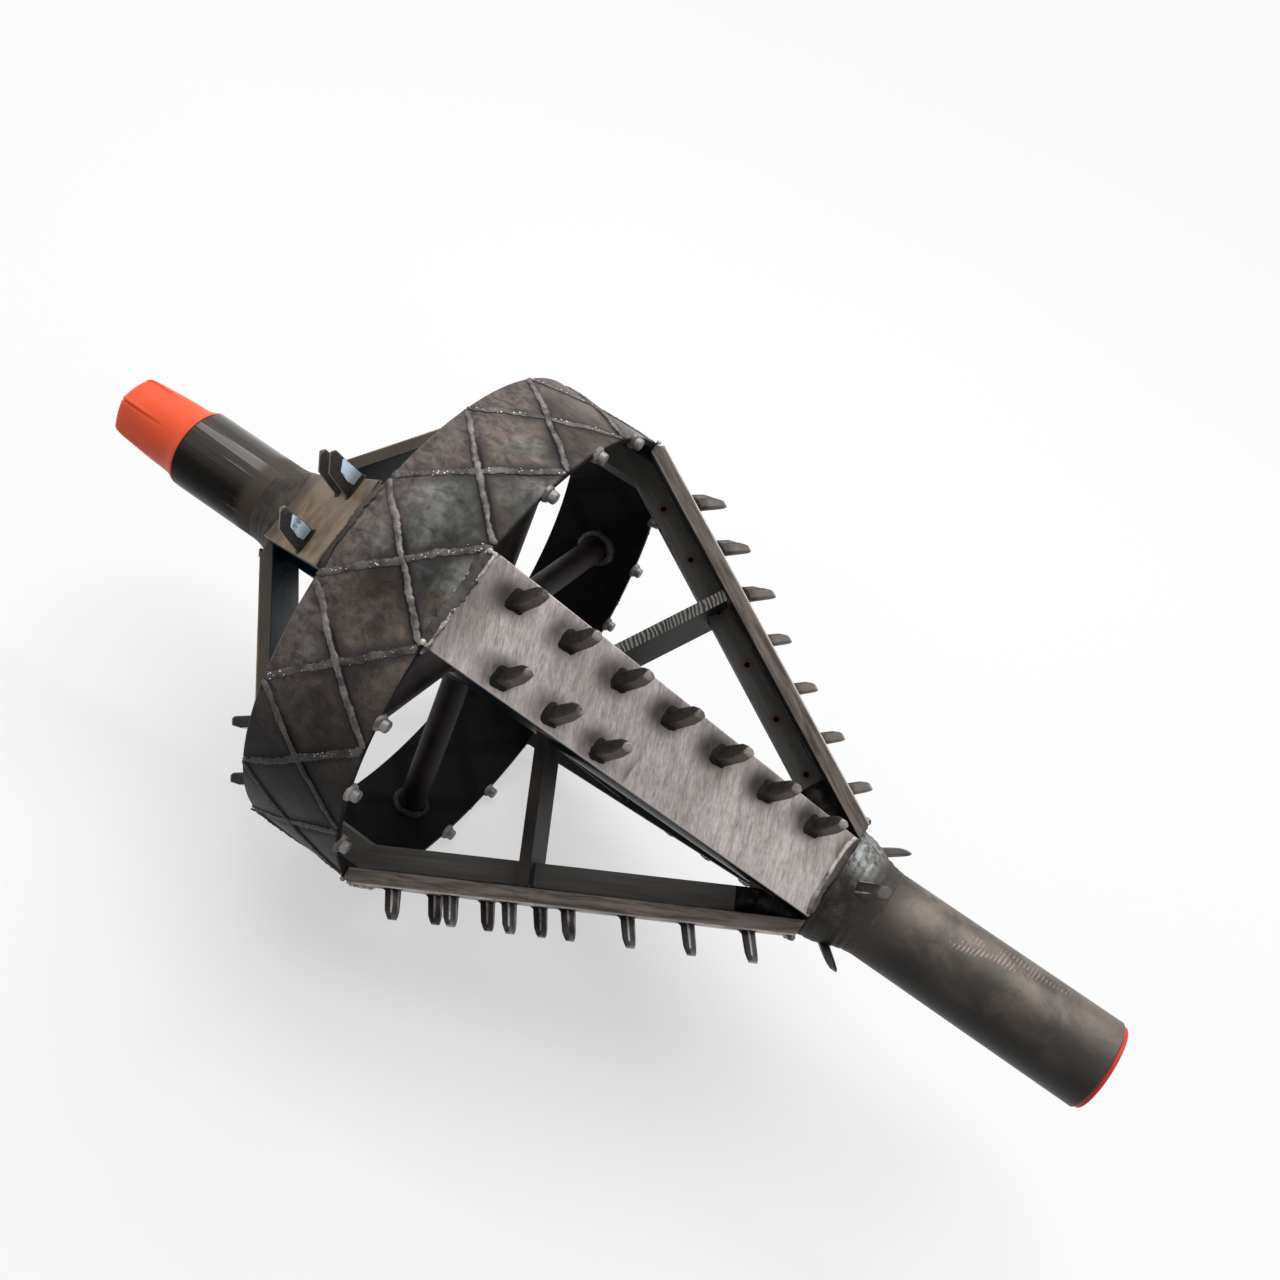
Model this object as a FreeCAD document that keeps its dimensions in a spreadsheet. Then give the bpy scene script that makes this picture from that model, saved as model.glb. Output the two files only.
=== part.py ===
import FreeCAD, Part
import math
import os

import Sketcher
from FreeCAD import Placement, Rotation, Vector

# Barrel reamer for opening up a pilot hole, built as a welded tool.
# A drill-pipe body with a pin at one end and a box at the other carries a
# ring band on four spokes. Four wing plates slope from the band to the nose
# and four rear plates slope back to the pin neck. Block teeth stand on them.
#
# Tool frame: the origin is the centre of the box shoulder, +X runs out of
# the box along the axis, +Z is up. Radii are distances from the axis.
# Stations along the tool are counted from the middle of the band, and the
# band's middle lies band_station behind the box shoulder.

SIZES = (
    # body of the tool
    ("joint_radius", 63.5),
    ("shaft_radius", 62.5),
    ("pipe_bore_radius", 35.0),
    ("sub_bore_radius", 28.5),
    ("band_station", 1020.0),
    ("pin_shoulder_station", 512.0),
    ("shaft_bevel", 2.5),
    # threaded pin and box, as plain tapers
    ("pin_length", 102.0),
    ("pin_base_radius", 51.0),
    ("pin_tip_radius", 42.5),
    ("pin_relief_length", 12.0),
    ("pin_relief_radius", 49.0),
    ("box_depth", 117.5),
    ("box_thread_length", 101.5),
    ("box_mouth_radius", 51.8),
    ("box_mouth_length", 16.0),
    ("thread_clearance", 0.6),
    # ring band
    ("band_radius", 375.0),
    ("band_wall", 12.0),
    ("band_width", 157.0),
    ("band_edge", 1.5),
    # wing plates
    ("wing_thickness", 22.0),
    ("wing_proud", 2.0),
    ("wing_slope", 28.4),
    ("wing_half_width", 69.0),
    ("wing_half_nose", 59.0),
    ("wing_bevel_face", 10.0),
    ("wing_bevel_depth", 8.0),
    # square mud pipe on the inside of each wing
    ("mud_pipe_width", 38.0),
    ("mud_pipe_height", 35.0),
    ("mud_pipe_wall", 5.0),
    ("mud_pipe_tail", 98.0),
    ("mud_pipe_end", 578.0),
    ("mud_hole_diameter", 8.0),
    ("mud_hole_first", 80.0),
    ("mud_hole_pitch", 86.0),
    ("mud_hole_count", 6.0),
    ("mud_port_diameter", 16.0),
    # flat bar strut under each wing
    ("strut_thickness", 16.0),
    ("strut_width", 120.0),
    ("strut_place", 245.0),
    ("strut_notch_gap", 1.0),
    # spokes of the band
    ("spoke_radius", 21.0),
    ("spoke_bore_radius", 16.0),
    ("spoke_station", 6.0),
    # rear plates
    ("rear_thickness", 20.0),
    ("rear_slope", 52.3),
    ("rear_half_width", 64.0),
    ("rear_half_neck", 55.0),
    ("rear_land", 16.5),
    # weld collars where the plates meet the body
    ("rear_collar_length", 34.0),
    ("nose_collar_length", 58.0),
    ("nose_collar_rise", 20.0),
    ("nose_collar_back", 30.0),
    ("nose_collar_back_rise", 16.0),
    ("collar_toe", 3.0),
    ("collar_to_joint", 14.0),
    # block teeth on the wings: root, waist and edge sections, where side
    # and nose say how far a section has leaned from the root
    ("tooth_length", 18.0),
    ("tooth_width", 22.0),
    ("tooth_waist_height", 28.0),
    ("tooth_waist_length", 16.5),
    ("tooth_waist_width", 20.0),
    ("tooth_waist_side", 15.0),
    ("tooth_waist_nose", 7.0),
    ("tooth_height", 41.0),
    ("tooth_edge_length", 11.0),
    ("tooth_edge_width", 6.0),
    ("tooth_edge_side", 22.0),
    ("tooth_edge_nose", 11.0),
    ("tooth_pitch", 80.0),
    ("main_row_first", 67.0),
    ("main_row_offset", 37.0),
    ("main_row_count", 7.0),
    ("short_row_first", 106.0),
    ("short_row_pitch", 75.0),
    ("short_row_offset", 46.0),
    ("short_row_count", 3.0),
    # slab teeth on the rear plates: a single and a pair, or a pair alone
    ("slab_length", 18.0),
    ("slab_width", 34.0),
    ("slab_waist_height", 35.0),
    ("slab_waist_length", 17.0),
    ("slab_waist_width", 26.0),
    ("slab_waist_side", -6.0),
    ("slab_waist_nose", 0.0),
    ("slab_height", 50.0),
    ("slab_edge_length", 8.0),
    ("slab_edge_width", 9.0),
    ("slab_edge_side", -17.0),
    ("slab_edge_nose", 0.0),
    ("single_place", 130.0),
    ("single_offset", 41.0),
    ("side_pair_place", 92.0),
    ("side_pair_pitch", 58.0),
    ("side_pair_offset", 48.0),
    ("middle_pair_place", 57.0),
    ("middle_pair_pitch", 81.0),
    # nose teeth on the front collar
    ("nose_tooth_start", 22.0),
    ("nose_tooth_length", 24.0),
    ("nose_tooth_width", 20.0),
    ("nose_tooth_waist_height", 23.0),
    ("nose_tooth_waist_length", 20.0),
    ("nose_tooth_waist_width", 18.0),
    ("nose_tooth_waist_side", 15.0),
    ("nose_tooth_waist_nose", 30.0),
    ("nose_tooth_height", 33.0),
    ("nose_tooth_edge_length", 8.0),
    ("nose_tooth_edge_width", 14.0),
    ("nose_tooth_edge_side", 22.0),
    ("nose_tooth_edge_nose", 44.0),
    # studs on the front edge of the band
    ("stud_radius", 10.0),
    ("stud_length", 9.0),
    ("stud_dome", 6.0),
    ("stud_pitch", 17.5),
    # thread protectors
    ("cap_length", 132.0),
    ("cap_rim_radius", 63.0),
    ("cap_rim_length", 4.0),
    ("cap_waist_radius", 55.0),
    ("cap_waist_length", 30.0),
    ("cap_tip_radius", 53.0),
    ("cap_end_chamfer", 10.0),
    ("cap_clearance", 1.5),
    ("cap_end_wall", 8.0),
    ("cap_floor_radius", 36.5),
    ("cap_flute_depth", 3.0),
    ("cap_flute_length", 82.0),
    ("cap_flute_fade", 1.0),
    ("cap_flute_width", 9.0),
    ("cap_flute_count", 6.0),
    ("plug_flange_radius", 60.5),
    ("plug_flange", 5.0),
    ("plug_length", 88.0),
    ("plug_clearance", 1.5),
    ("plug_wall", 5.0),
    ("plug_dish_radius", 46.0),
    ("plug_dish_depth", 2.5),
    ("plug_grip_width", 14.0),
    ("plug_edge", 1.0),
    # how far a cutting tool runs past the face that it cuts
    ("cut_margin", 5.0),
)

WINGS = 4
NEAR_WING_ANGLE = 135.0
SKETCH_START = 9.0

doc = FreeCAD.newDocument("barrel_reamer")
sheet = doc.addObject("Spreadsheet::Sheet", "sizes")
for line, (alias, value) in enumerate(SIZES, 1):
    sheet.set("A%d" % line, alias)
    sheet.set("B%d" % line, str(value))
    sheet.setAlias("B%d" % line, alias)
doc.recompute()

X_AXIS = Vector(1, 0, 0)
Y_AXIS = Vector(0, 1, 0)
Z_AXIS = Vector(0, 0, 1)
nodes = []


def size(alias):
    """A driving size as a number."""
    return float(sheet.get(alias))


def keep(piece, label, placement=None):
    """Make a finished piece a sub-part under its own name and place."""
    piece.Label = label
    if placement is not None:
        piece.Placement = placement
    nodes.append(piece)
    return piece


def bind(piece, **formulas):
    """Tie properties of a piece to cells of the sheet."""
    for name, formula in formulas.items():
        piece.setExpression(name, formula)
    return piece


# Places that several pieces share, as formulas on the sheet

BAND_REAR = "(-sizes.band_station - sizes.band_width / 2)"
BAND_FRONT = "(-sizes.band_station + sizes.band_width / 2)"
PIN_SHOULDER = "(-sizes.band_station - sizes.pin_shoulder_station)"
WING_OUTER = "(sizes.band_radius + sizes.wing_proud)"
WING_LAND = "(sizes.shaft_radius + sizes.wing_thickness / cos(sizes.wing_slope))"
WING_LENGTH = "((%s - %s) / sin(sizes.wing_slope))" % (WING_OUTER, WING_LAND)
WING_NOSE = "(%s + %s * cos(sizes.wing_slope))" % (BAND_FRONT, WING_LENGTH)
REAR_LAND = "(sizes.shaft_radius + sizes.rear_land)"
REAR_LENGTH = "((sizes.band_radius - %s) / sin(sizes.rear_slope))" % REAR_LAND
REAR_NECK = "(%s - %s * cos(sizes.rear_slope))" % (BAND_REAR, REAR_LENGTH)
PIN_JOINT = "(%s - sizes.rear_collar_length - sizes.collar_to_joint)" % REAR_NECK
BOX_JOINT = "(%s + sizes.nose_collar_length + sizes.collar_to_joint)" % WING_NOSE
TAPER = "((sizes.pin_base_radius - sizes.pin_tip_radius) / sizes.pin_length)"

# The same places as numbers, for placements and groups of copies

wing_angle = math.radians(size("wing_slope"))
rear_angle = math.radians(size("rear_slope"))
band_front = -size("band_station") + size("band_width") / 2
band_rear = -size("band_station") - size("band_width") / 2
wing_outer = size("band_radius") + size("wing_proud")
wing_land = size("shaft_radius") + size("wing_thickness") / math.cos(wing_angle)
wing_length = (wing_outer - wing_land) / math.sin(wing_angle)
wing_nose = band_front + wing_length * math.cos(wing_angle)
rear_land = size("shaft_radius") + size("rear_land")
rear_length = (size("band_radius") - rear_land) / math.sin(rear_angle)

# The tool lies on two neighbouring studs, which turns it half a stud pitch
REST_ROLL = -size("stud_pitch") / 2

# Frames of a wing and of a rear plate before they go round the axis: the
# origin is the outer edge at the band, x runs down the outer face to the
# body and z stands out of that face
WING_FRAME = Placement(Vector(band_front, 0, wing_outer),
                       Rotation(Y_AXIS, size("wing_slope")))
REAR_FRAME = Placement(Vector(band_rear, 0, size("band_radius")),
                       Rotation(Z_AXIS, 180).multiply(
                           Rotation(Y_AXIS, size("rear_slope"))))


def around(angle):
    """Turn a piece built above the axis to its angle from +Y towards +Z."""
    return Placement(Vector(0, 0, 0), Rotation(X_AXIS, angle - 90))


def wing_turn(number):
    """Placement of wing 1 to 4, counted the way that the teeth trail."""
    step = 360 / WINGS * (number - 1)
    return around(NEAR_WING_ANGLE + REST_ROLL + step)


# Helpers for sketched pieces

def plane_of(body, role):
    for feature in body.Origin.OriginFeatures:
        if feature.Role == role:
            return feature
    raise ValueError("no plane " + role)


def new_body(name):
    return doc.addObject("PartDesign::Body", name)


def new_sketch(body, name, role):
    sketch = body.newObject("Sketcher::SketchObject", name)
    sketch.AttachmentSupport = [(plane_of(body, role), "")]
    sketch.MapMode = "FlatFace"
    return sketch


def outline(sketch, corners):
    """Closed straight outline whose corners are formulas on the sheet."""
    first = sketch.GeometryCount
    count = len(corners)
    ring = []
    for number in range(count):
        turn = -2 * math.pi * number / count
        ring.append(Vector(SKETCH_START * math.cos(turn),
                           SKETCH_START * math.sin(turn), 0))
    for number in range(count):
        side = Part.LineSegment(ring[number], ring[(number + 1) % count])
        sketch.addGeometry(side, False)
    for number in range(count):
        follower = first + (number + 1) % count
        sketch.addConstraint(
            Sketcher.Constraint("Coincident", first + number, 2, follower, 1))
    for number, (across, up) in enumerate(corners):
        start = ring[number]
        pairs = (("DistanceX", across, start.x), ("DistanceY", up, start.y))
        for kind, formula, value in pairs:
            index = sketch.addConstraint(
                Sketcher.Constraint(kind, -1, 1, first + number, 1, value))
            sketch.setExpression("Constraints[%d]" % index, formula)
    return sketch


def turned(name, corners):
    """Body turned about the tool axis from a half section (x, radius)."""
    body = new_body(name)
    sketch = new_sketch(body, name + "_section", "XZ_Plane")
    outline(sketch, corners)
    turn = body.newObject("PartDesign::Revolution", name + "_turn")
    turn.Profile = sketch
    turn.ReferenceAxis = (sketch, ["H_Axis"])
    turn.Angle = 360
    body.Tip = turn
    return body


def padded(body, name, corners, width):
    """Side outline in the XZ plane, padded to both sides of it."""
    sketch = new_sketch(body, name + "_side", "XZ_Plane")
    outline(sketch, corners)
    pad = body.newObject("PartDesign::Pad", name + "_pad")
    pad.Profile = sketch
    pad.Midplane = True
    pad.setExpression("Length", width)
    body.Tip = pad
    return pad


def pocketed(body, name, role, outlines, width):
    """Pocket through the body, to both sides of the sketch plane."""
    sketch = new_sketch(body, name + "_outline", role)
    for corners in outlines:
        outline(sketch, corners)
    pocket = body.newObject("PartDesign::Pocket", name)
    pocket.Profile = sketch
    pocket.Midplane = True
    pocket.setExpression("Length", width)
    body.Tip = pocket
    return pocket


def cut(name, base, tool):
    piece = doc.addObject("Part::Cut", name)
    piece.Base = base
    piece.Tool = tool
    return piece


def shaft_core(name):
    """Solid the size of the body's outside, for coping what meets it."""
    core = doc.addObject("Part::Cylinder", name)
    bind(core, Radius="sizes.shaft_radius",
         Height="sizes.band_station + sizes.pin_shoulder_station")
    core.Placement = Placement(
        Vector(-size("band_station") - size("pin_shoulder_station"), 0, 0),
        Rotation(Y_AXIS, 90))
    return core


def quarter(name):
    """Quarter prism above the axis, mitred at 45 degrees on both sides."""
    body = new_body(name)
    sketch = new_sketch(body, name + "_face", "YZ_Plane")
    reach = "2 * sizes.band_radius"
    outline(sketch, (("0", "0"), (reach, reach), ("-" + reach, reach)))
    pad = body.newObject("PartDesign::Pad", name + "_pad")
    pad.Profile = sketch
    pad.Midplane = True
    pad.setExpression("Length", "4 * sizes.band_station")
    body.Tip = pad
    return body


core = shaft_core("shaft_core")
sector = quarter("quarter")


# Body of the tool: pin sub, centre pipe and box sub, butt welded

def make_pin_sub():
    shoulder = PIN_SHOULDER
    tip = "(%s - sizes.pin_length)" % shoulder
    relief = "(%s - sizes.pin_relief_length)" % shoulder
    return turned("pin_sub", (
        (tip, "sizes.sub_bore_radius"),
        (tip, "sizes.pin_tip_radius - sizes.shaft_bevel"),
        ("%s + sizes.shaft_bevel" % tip, "sizes.pin_tip_radius"),
        (relief, "sizes.pin_base_radius - %s * sizes.pin_relief_length" % TAPER),
        (relief, "sizes.pin_relief_radius"),
        (shoulder, "sizes.pin_relief_radius"),
        (shoulder, "sizes.joint_radius - sizes.shaft_bevel"),
        ("%s + sizes.shaft_bevel" % shoulder, "sizes.joint_radius"),
        (PIN_JOINT, "sizes.joint_radius"),
        (PIN_JOINT, "sizes.sub_bore_radius")))


def make_centre_pipe():
    """Pipe between the two subs, with a mud port under each wing."""
    tube = turned("pipe_tube", (
        (PIN_JOINT, "sizes.pipe_bore_radius"),
        (PIN_JOINT, "sizes.shaft_radius"),
        (BOX_JOINT, "sizes.shaft_radius"),
        (BOX_JOINT, "sizes.pipe_bore_radius")))
    along = size("mud_pipe_end") - size("mud_pipe_height") / 2
    fall = wing_outer - size("shaft_radius") - along * math.sin(wing_angle)
    station = band_front + along * math.cos(wing_angle) - fall * math.tan(wing_angle)
    outlet = Placement(Vector(station, 0, 0), Rotation())
    cutters = []
    for number in range(1, WINGS + 1):
        port = doc.addObject("Part::Cylinder", "port_%d" % number)
        bind(port, Radius="sizes.mud_port_diameter / 2",
             Height="sizes.shaft_radius + sizes.cut_margin")
        port.Placement = wing_turn(number).multiply(outlet)
        cutters.append(port)
    ports = doc.addObject("Part::MultiFuse", "ports")
    ports.Shapes = cutters
    return cut("centre_pipe", tube, ports)


def make_box_sub():
    mouth = "(-sizes.box_mouth_length)"
    end = "(-sizes.box_thread_length)"
    depth = "(-sizes.box_depth)"
    thread_mouth = "(sizes.pin_base_radius - %s * sizes.box_mouth_length)" % TAPER
    thread_end = "(sizes.pin_base_radius - %s * sizes.box_thread_length)" % TAPER
    return turned("box_sub", (
        (BOX_JOINT, "sizes.sub_bore_radius"),
        (BOX_JOINT, "sizes.joint_radius"),
        ("-sizes.shaft_bevel", "sizes.joint_radius"),
        ("0", "sizes.joint_radius - sizes.shaft_bevel"),
        ("0", "sizes.box_mouth_radius"),
        (mouth, "sizes.box_mouth_radius"),
        (mouth, thread_mouth + " + sizes.thread_clearance"),
        (end, thread_end + " + sizes.thread_clearance"),
        (depth, thread_end + " - sizes.thread_clearance"),
        (depth, "sizes.sub_bore_radius")))


keep(make_pin_sub(), "pin_sub")
keep(make_centre_pipe(), "centre_pipe")
keep(make_box_sub(), "box_sub")


# Ring band with bevelled edges

def make_ring_band():
    inner = "(sizes.band_radius - sizes.band_wall)"
    return turned("ring_band", (
        (BAND_REAR, inner),
        (BAND_REAR, "sizes.band_radius - sizes.band_edge"),
        (BAND_REAR + " + sizes.band_edge", "sizes.band_radius"),
        (BAND_FRONT + " - sizes.band_edge", "sizes.band_radius"),
        (BAND_FRONT, "sizes.band_radius - sizes.band_edge"),
        (BAND_FRONT, inner)))


keep(make_ring_band(), "ring_band")


# Spokes: tubes coped to the body inside and to the band outside

def make_spoke(number):
    reach = "sizes.band_radius"
    outer = doc.addObject("Part::Cylinder", "spoke_outer_%d" % number)
    bind(outer, Radius="sizes.spoke_radius", Height=reach)
    inner = doc.addObject("Part::Cylinder", "spoke_inner_%d" % number)
    bind(inner, Radius="sizes.spoke_bore_radius", Height=reach)
    stand = Placement(Vector(size("spoke_station") - size("band_station"), 0, 0),
                      Rotation())
    outer.Placement = stand
    inner.Placement = stand
    tube = cut("spoke_wall_%d" % number, outer, inner)
    coped = cut("spoke_coped_%d" % number, tube, core)
    return coped


def make_band_bore():
    """Solid that fills the band, for trimming the spokes to its bore."""
    bore = doc.addObject("Part::Cylinder", "band_bore")
    bind(bore, Radius="sizes.band_radius - sizes.band_wall", Height="sizes.band_width")
    bore.Placement = Placement(Vector(band_rear, 0, 0), Rotation(Y_AXIS, 90))
    return bore


band_bore = make_band_bore()
for number in range(1, WINGS + 1):
    spoke = doc.addObject("Part::Common", "spoke_%d" % number)
    spoke.Base = make_spoke(number)
    spoke.Tool = band_bore
    half_step = around(90 - 180 / WINGS)
    keep(spoke, "spoke_tube_%d" % number, wing_turn(number).multiply(half_step))


# Wing plates and rear plates: flame-cut plates with mitred ends, tapered
# in width, seated on the band's edge and on the body

def tapered_plate(name, thickness, slope, length, half_band, half_body, bevel=None):
    """Plate along x, with its outer corner at the band bevelled if asked."""
    shift = "%s * tan(%s)" % (thickness, slope)
    corner = [("0", "0")]
    if bevel:
        face, depth = bevel
        corner = [("%s * tan(%s)" % (depth, slope), "-" + depth), (face, "0")]
    body = new_body(name)
    padded(body, name, corner + [
        (length, "0"),
        (length + " + " + shift, "-" + thickness),
        (shift, "-" + thickness)], "2 * " + half_band)
    far = "(%s + %s)" % (length, shift)
    triangles = []
    for side in ("", "-"):
        triangles.append((
            ("0", side + half_band),
            (far, side + half_body),
            (far, side + "(%s + sizes.cut_margin)" % half_band),
            ("0", side + "(%s + sizes.cut_margin)" % half_band)))
    pocketed(body, name + "_taper", "XY_Plane", triangles, "4 * " + thickness)
    return body


for number in range(1, WINGS + 1):
    plate = tapered_plate("wing_%d" % number, "sizes.wing_thickness",
                          "sizes.wing_slope", WING_LENGTH,
                          "sizes.wing_half_width", "sizes.wing_half_nose",
                          ("sizes.wing_bevel_face", "sizes.wing_bevel_depth"))
    keep(plate, "wing_plate_%d" % number, wing_turn(number).multiply(WING_FRAME))

for number in range(1, WINGS + 1):
    plate = tapered_plate("rear_blank_%d" % number, "sizes.rear_thickness",
                          "sizes.rear_slope", REAR_LENGTH,
                          "sizes.rear_half_width", "sizes.rear_half_neck")
    plate.Placement = REAR_FRAME
    coped = cut("rear_coped_%d" % number, plate, core)
    mitred = doc.addObject("Part::Common", "rear_%d" % number)
    mitred.Base = coped
    mitred.Tool = sector
    keep(mitred, "rear_plate_%d" % number, wing_turn(number))


# Square mud pipe under each wing: it starts over a port in the centre pipe,
# runs up the inside of the wing, bends at the band and ends capped there

def mud_pipe_outline(inset):
    """Side outline of the pipe, inset by a wall where one is given."""
    top = "(-sizes.wing_thickness - %s)" % inset
    low = "(-sizes.wing_thickness - sizes.mud_pipe_height + %s)" % inset
    slope = "sizes.wing_slope"
    corner = "sizes.wing_thickness * tan(%s)" % slope
    bend_top = "(%s + %s * tan(%s / 2))" % (corner, inset, slope)
    bend_low = "(%s + (sizes.mud_pipe_height - %s) * tan(%s / 2))" % (corner, inset, slope)
    tail = "(sizes.mud_pipe_tail - %s)" % inset
    depth_top = inset
    depth_low = "(sizes.mud_pipe_height - %s)" % inset
    end_top = ("%s - %s * cos(%s) + %s * sin(%s)"
               % (corner, tail, slope, depth_top, slope),
               "-sizes.wing_thickness - %s * sin(%s) - %s * cos(%s)"
               % (tail, slope, depth_top, slope))
    end_low = ("%s - %s * cos(%s) + %s * sin(%s)"
               % (corner, tail, slope, depth_low, slope),
               "-sizes.wing_thickness - %s * sin(%s) - %s * cos(%s)"
               % (tail, slope, depth_low, slope))
    nose = "(sizes.mud_pipe_end - %s)" % inset
    root = "(-sizes.wing_thickness - 2 * sizes.mud_pipe_height)"
    foot = "(%s - sizes.mud_pipe_height + 2 * %s)" % (nose, inset)
    return (end_low, end_top, (bend_top, top), (nose, top), (nose, root),
            (foot, root), (foot, low), (bend_low, low))


def make_mud_pipe(number):
    name = "mud_pipe_%d" % number
    body = new_body(name)
    padded(body, name, mud_pipe_outline("0"), "sizes.mud_pipe_width")
    pocketed(body, name + "_channel", "XZ_Plane",
             (mud_pipe_outline("sizes.mud_pipe_wall"),),
             "sizes.mud_pipe_width - 2 * sizes.mud_pipe_wall")
    sketch = new_sketch(body, name + "_hole", "XZ_Plane")
    bore = size("mud_hole_diameter") / 2
    first = size("mud_hole_first")
    depth = -size("wing_thickness") - size("mud_pipe_height") / 2
    circle = Part.Circle(Vector(first, depth, 0), Z_AXIS, bore)
    sketch.addGeometry(circle, False)
    radius = sketch.addConstraint(Sketcher.Constraint("Radius", 0, bore))
    across = sketch.addConstraint(
        Sketcher.Constraint("DistanceX", -1, 1, 0, 3, first))
    up = sketch.addConstraint(
        Sketcher.Constraint("DistanceY", -1, 1, 0, 3, depth))
    sketch.setExpression("Constraints[%d]" % radius, "sizes.mud_hole_diameter / 2")
    sketch.setExpression("Constraints[%d]" % across, "sizes.mud_hole_first")
    sketch.setExpression("Constraints[%d]" % up,
                         "-sizes.wing_thickness - sizes.mud_pipe_height / 2")
    hole = body.newObject("PartDesign::Pocket", name + "_drill")
    hole.Profile = sketch
    hole.setExpression("Length", "sizes.mud_pipe_width")
    hole.Reversed = True
    body.Tip = hole
    row = body.newObject("PartDesign::LinearPattern", name + "_row")
    row.Originals = [hole]
    row.Direction = (sketch, ["H_Axis"])
    row.setExpression("Length", "sizes.mud_hole_pitch * (sizes.mud_hole_count - 1)")
    row.setExpression("Occurrences", "sizes.mud_hole_count")
    body.Tip = row
    body.Placement = WING_FRAME
    return cut("mud_coped_%d" % number, body, core)


for number in range(1, WINGS + 1):
    keep(make_mud_pipe(number), "wing_mud_pipe_%d" % number, wing_turn(number))


# Strut: flat bar from the inside of the wing square down to the body,
# notched over the mud pipe, coped to the body and mitred to its neighbours

def make_strut(number):
    name = "strut_%d" % number
    body = new_body(name)
    top = "-sizes.wing_thickness"
    deep = "-sizes.wing_thickness - sizes.band_radius"
    near = "sizes.strut_place - sizes.strut_thickness / 2"
    far = "sizes.strut_place + sizes.strut_thickness / 2"
    padded(body, name, ((near, top), (far, top), (far, deep), (near, deep)),
           "sizes.strut_width")
    notch_low = top + " - sizes.mud_pipe_height - sizes.strut_notch_gap"
    notch_top = top + " + sizes.cut_margin"
    notch_near = near + " - sizes.cut_margin"
    notch_far = far + " + sizes.cut_margin"
    pocketed(body, name + "_notch", "XZ_Plane",
             (((notch_near, notch_top), (notch_far, notch_top),
               (notch_far, notch_low), (notch_near, notch_low)),),
             "sizes.mud_pipe_width + 2 * sizes.strut_notch_gap")
    body.Placement = WING_FRAME
    coped = cut(name + "_coped", body, core)
    mitred = doc.addObject("Part::Common", name + "_mitred")
    mitred.Base = coped
    mitred.Tool = sector
    return mitred


for number in range(1, WINGS + 1):
    keep(make_strut(number), "wing_strut_%d" % number, wing_turn(number))


# Weld collars over the plate ends

def make_collars():
    toe = "sizes.shaft_radius + sizes.collar_toe"
    rear_toe = "(%s - sizes.rear_collar_length)" % REAR_NECK
    rear = turned("rear_collar", (
        (rear_toe, "sizes.shaft_radius"),
        (rear_toe, toe),
        (REAR_NECK, REAR_LAND),
        (REAR_NECK, "sizes.shaft_radius")))
    nose_toe = "(%s + sizes.nose_collar_length)" % WING_NOSE
    nose = turned("nose_collar", (
        (WING_NOSE, "sizes.shaft_radius"),
        (WING_NOSE, "sizes.shaft_radius + sizes.nose_collar_rise"),
        ("(%s + sizes.nose_collar_back)" % WING_NOSE,
         "sizes.shaft_radius + sizes.nose_collar_back_rise"),
        (nose_toe, toe),
        (nose_toe, "sizes.shaft_radius")))
    return rear, nose


rear_collar, nose_collar = make_collars()
keep(rear_collar, "rear_collar")
keep(nose_collar, "nose_collar")


# Block teeth: a leaning block with a chisel edge, made once for the wings,
# once for the rear plates and once for the nose, and then copied

def span(centre, length):
    """Two formulas for the ends of a length about its centre."""
    return ("%s - %s / 2" % (centre, length), "%s + %s / 2" % (centre, length))


def tooth_form(name, kind):
    """Tooth on the XY plane that leans along +X and +Y."""
    sections = []
    for level in ("", "waist_", "edge_"):
        length = "sizes.%s_%slength" % (kind, level)
        width = "sizes.%s_%swidth" % (kind, level)
        nose = "sizes.%s_%snose" % (kind, level) if level else "0"
        side = "(-sizes.%s_%sside)" % (kind, level) if level else "0"
        sections.append(span(nose, length) + span(side, width))
    levels = ("0", "sizes.%s_waist_height" % kind, "sizes.%s_height" % kind)
    parts = []
    for number, word in enumerate(("block", "edge")):
        low, high = sections[number], sections[number + 1]
        part = doc.addObject("Part::Wedge", "%s_%s" % (name, word))
        bind(part, Ymin=levels[number], Ymax=levels[number + 1],
             Xmin=low[0], Xmax=low[1], Zmin=low[2], Zmax=low[3],
             X2min=high[0], X2max=high[1], Z2min=high[2], Z2max=high[3])
        parts.append(part)
    form = doc.addObject("Part::MultiFuse", name)
    form.Shapes = parts
    form.Refine = True
    form.Placement = Placement(Vector(0, 0, 0), Rotation(X_AXIS, 90))
    return form


wing_tooth = tooth_form("wing_tooth", "tooth")
rear_tooth = tooth_form("rear_tooth", "slab")
doc.recompute()


def copies(form, places):
    """Separate copies of one solid, each at its own placement."""
    solids = []
    for place in places:
        solid = form.Shape.copy()
        solid.Placement = place.multiply(form.Shape.Placement)
        solids.append(solid)
    return Part.makeCompound(solids)


def group(name, form, places, placement):
    piece = doc.addObject("Part::Feature", name)
    piece.Shape = copies(form, places)
    return keep(piece, name, placement)


def seat(across, aside):
    return Placement(Vector(across, aside, 0), Rotation())


def wing_seats():
    seats = []
    for number in range(int(size("main_row_count"))):
        across = size("main_row_first") + size("tooth_pitch") * number
        seats.append(seat(across, size("main_row_offset")))
    for number in range(int(size("short_row_count"))):
        across = size("short_row_first") + size("short_row_pitch") * number
        seats.append(seat(across, -size("short_row_offset")))
    return seats


def rear_seats(number):
    """Odd plates carry a single and a side pair, even ones a middle pair."""
    if number % 2:
        place = size("side_pair_place")
        offset = -size("side_pair_offset")
        return [seat(size("single_place"), size("single_offset")),
                seat(place, offset),
                seat(place + size("side_pair_pitch"), offset)]
    place = size("middle_pair_place")
    return [seat(place, 0), seat(place + size("middle_pair_pitch"), 0)]


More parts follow.
